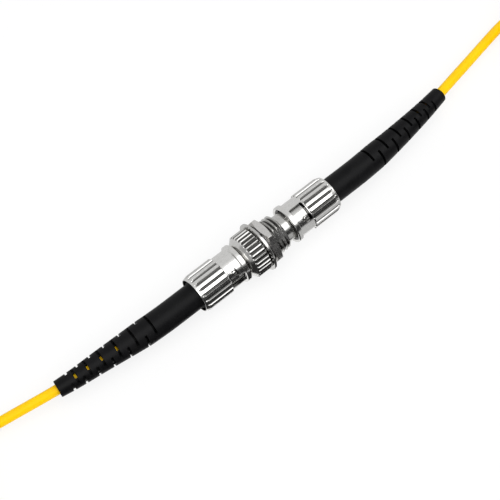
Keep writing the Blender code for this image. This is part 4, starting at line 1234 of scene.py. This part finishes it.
world = bpy.data.worlds.new("studio")
bpy.context.scene.world = world
world.use_nodes = True
sky = world.node_tree
lit = sky.nodes["Background"]
lit.inputs["Color"].default_value = (1, 1, 1, 1)
feed(sky, spread(sky, sees(sky), 0.0, 1.0, SKY_STRENGTH, 1.0), lit.inputs["Strength"])

ground = bpy.data.materials.new("studio_floor")
ground.use_nodes = True
floor_tree = ground.node_tree
matt = add_node(floor_tree, "ShaderNodeBsdfDiffuse", {"Color": (0.98, 0.98, 0.98, 1)})
glow = add_node(floor_tree, "ShaderNodeEmission", {"Color": (1, 1, 1, 1), "Strength": 1.0})
mixed = add_node(floor_tree, "ShaderNodeMixShader", {
    0: sum_of(floor_tree, "MULTIPLY", sees(floor_tree), FLOOR_GLOW), 1: matt.outputs[0], 2: glow.outputs[0]})
floor_tree.links.new(mixed.outputs[0], floor_tree.nodes["Material Output"].inputs["Surface"])
floor_corners = [(x * FLOOR_REACH, y * FLOOR_REACH, FLOOR_DROP)
                 for x, y in ((-1, -1), (1, -1), (1, 1), (-1, 1))]
floor = new_piece("floor", closed_mesh("floor", floor_corners, [(0, 1, 2, 3)]), ground)


def add_card(name, points, faces, brightness, fade=None):
    """A card that only reflections meet. It may fade to another brightness between two
    heights."""
    material = bpy.data.materials.new(name)
    material.use_nodes = True
    tree = material.node_tree
    shine = add_node(tree, "ShaderNodeEmission", {"Strength": brightness})
    if fade:
        low, high, beyond = fade
        place = tree.nodes.new("ShaderNodeTexCoord").outputs["Object"]
        height = add_node(tree, "ShaderNodeSeparateXYZ", {0: place}).outputs[2]
        feed(tree, spread(tree, height, low, high, brightness, beyond), shine.inputs["Strength"])
    tree.links.new(shine.outputs[0], tree.nodes["Material Output"].inputs["Surface"])
    mesh = bpy.data.meshes.new(name)
    mesh.from_pydata(points, [], faces)
    card = new_piece(name, mesh, material)
    card.visible_camera = False
    card.visible_diffuse = False
    card.visible_shadow = False
    card.visible_transmission = False


for name, toward, top, floor_end, brightness, fade in (
        ("dark_card", -1, 48, STRIP_START, 0.03, (0.205, 0.262, 0.85)),
        ("grey_card", 1, 86, CARD_HALF, 0.68, (0.325, 0.349, 0.95))):
    card_points = [(x, toward * y, CARD_LIFT)
                   for y in (CARD_SIDE, CARD_REACH) for x in (-CARD_HALF, floor_end)]
    card_faces = [(0, 1, 3, 2)]
    for step in range(CARD_STEPS + 1):
        rise = math.radians(top * step / CARD_STEPS)
        y = toward * CARD_REACH * math.cos(rise)
        card_points += [(x, y, CARD_LIFT + CARD_REACH * math.sin(rise)) for x in (-CARD_HALF, CARD_HALF)]
    card_faces += [(4 + 2 * step, 5 + 2 * step, 7 + 2 * step, 6 + 2 * step) for step in range(CARD_STEPS)]
    add_card(name, card_points, card_faces, brightness, fade)
strip = [(x, -y, CARD_LIFT) for x, y in (
    (STRIP_START, CARD_SIDE), (CARD_HALF, CARD_SIDE), (CARD_HALF, CARD_REACH), (STRIP_START, CARD_REACH))]
add_card("grey_floor", strip, [(0, 1, 2, 3)], 0.55)
for name, x, brightness in (("left_card", -CARD_HALF, 0.4), ("right_card", CARD_HALF, 0.22)):
    corners = [(x, y, z) for y, z in ((-CARD_REACH, END_BOTTOM), (CARD_REACH, END_BOTTOM),
                                      (CARD_REACH, END_TOP), (-CARD_REACH, END_TOP))]
    add_card(name, corners, [(0, 1, 2, 3)], brightness)

lamp = bpy.data.lights.new("overhead", "AREA")
lamp.shape = "RECTANGLE"
lamp.size = 1.5
lamp.size_y = 0.7
lamp.energy = 4.5
overhead = bpy.data.objects.new("overhead", lamp)
overhead.location = (0.0, -0.2, 0.55)
overhead.visible_camera = False
bpy.context.scene.collection.objects.link(overhead)

AZIMUTH = math.radians(-40.2)
ELEVATION = math.radians(64.8)
AIM = Vector((-3.10, 0.75, 5.88)) * MM
VIEW_DISTANCE = 0.380
right = Vector((math.cos(AZIMUTH), math.sin(AZIMUTH), 0))
forward = Vector((-math.sin(AZIMUTH) * math.cos(ELEVATION), math.cos(AZIMUTH) * math.cos(ELEVATION),
                  -math.sin(ELEVATION)))
up = right.cross(forward)
view = bpy.data.cameras.new("camera")
view.lens = 120.7
view.sensor_width = 36
view.clip_start = 0.01
camera = bpy.data.objects.new("camera", view)
camera.matrix_world = Matrix.Translation(AIM - forward * VIEW_DISTANCE) @ Matrix((
    (right.x, up.x, -forward.x, 0), (right.y, up.y, -forward.y, 0), (right.z, up.z, -forward.z, 0),
    (0, 0, 0, 1)))
bpy.context.scene.collection.objects.link(camera)
bpy.context.scene.camera = camera
bpy.context.scene.view_settings.view_transform = "Standard"
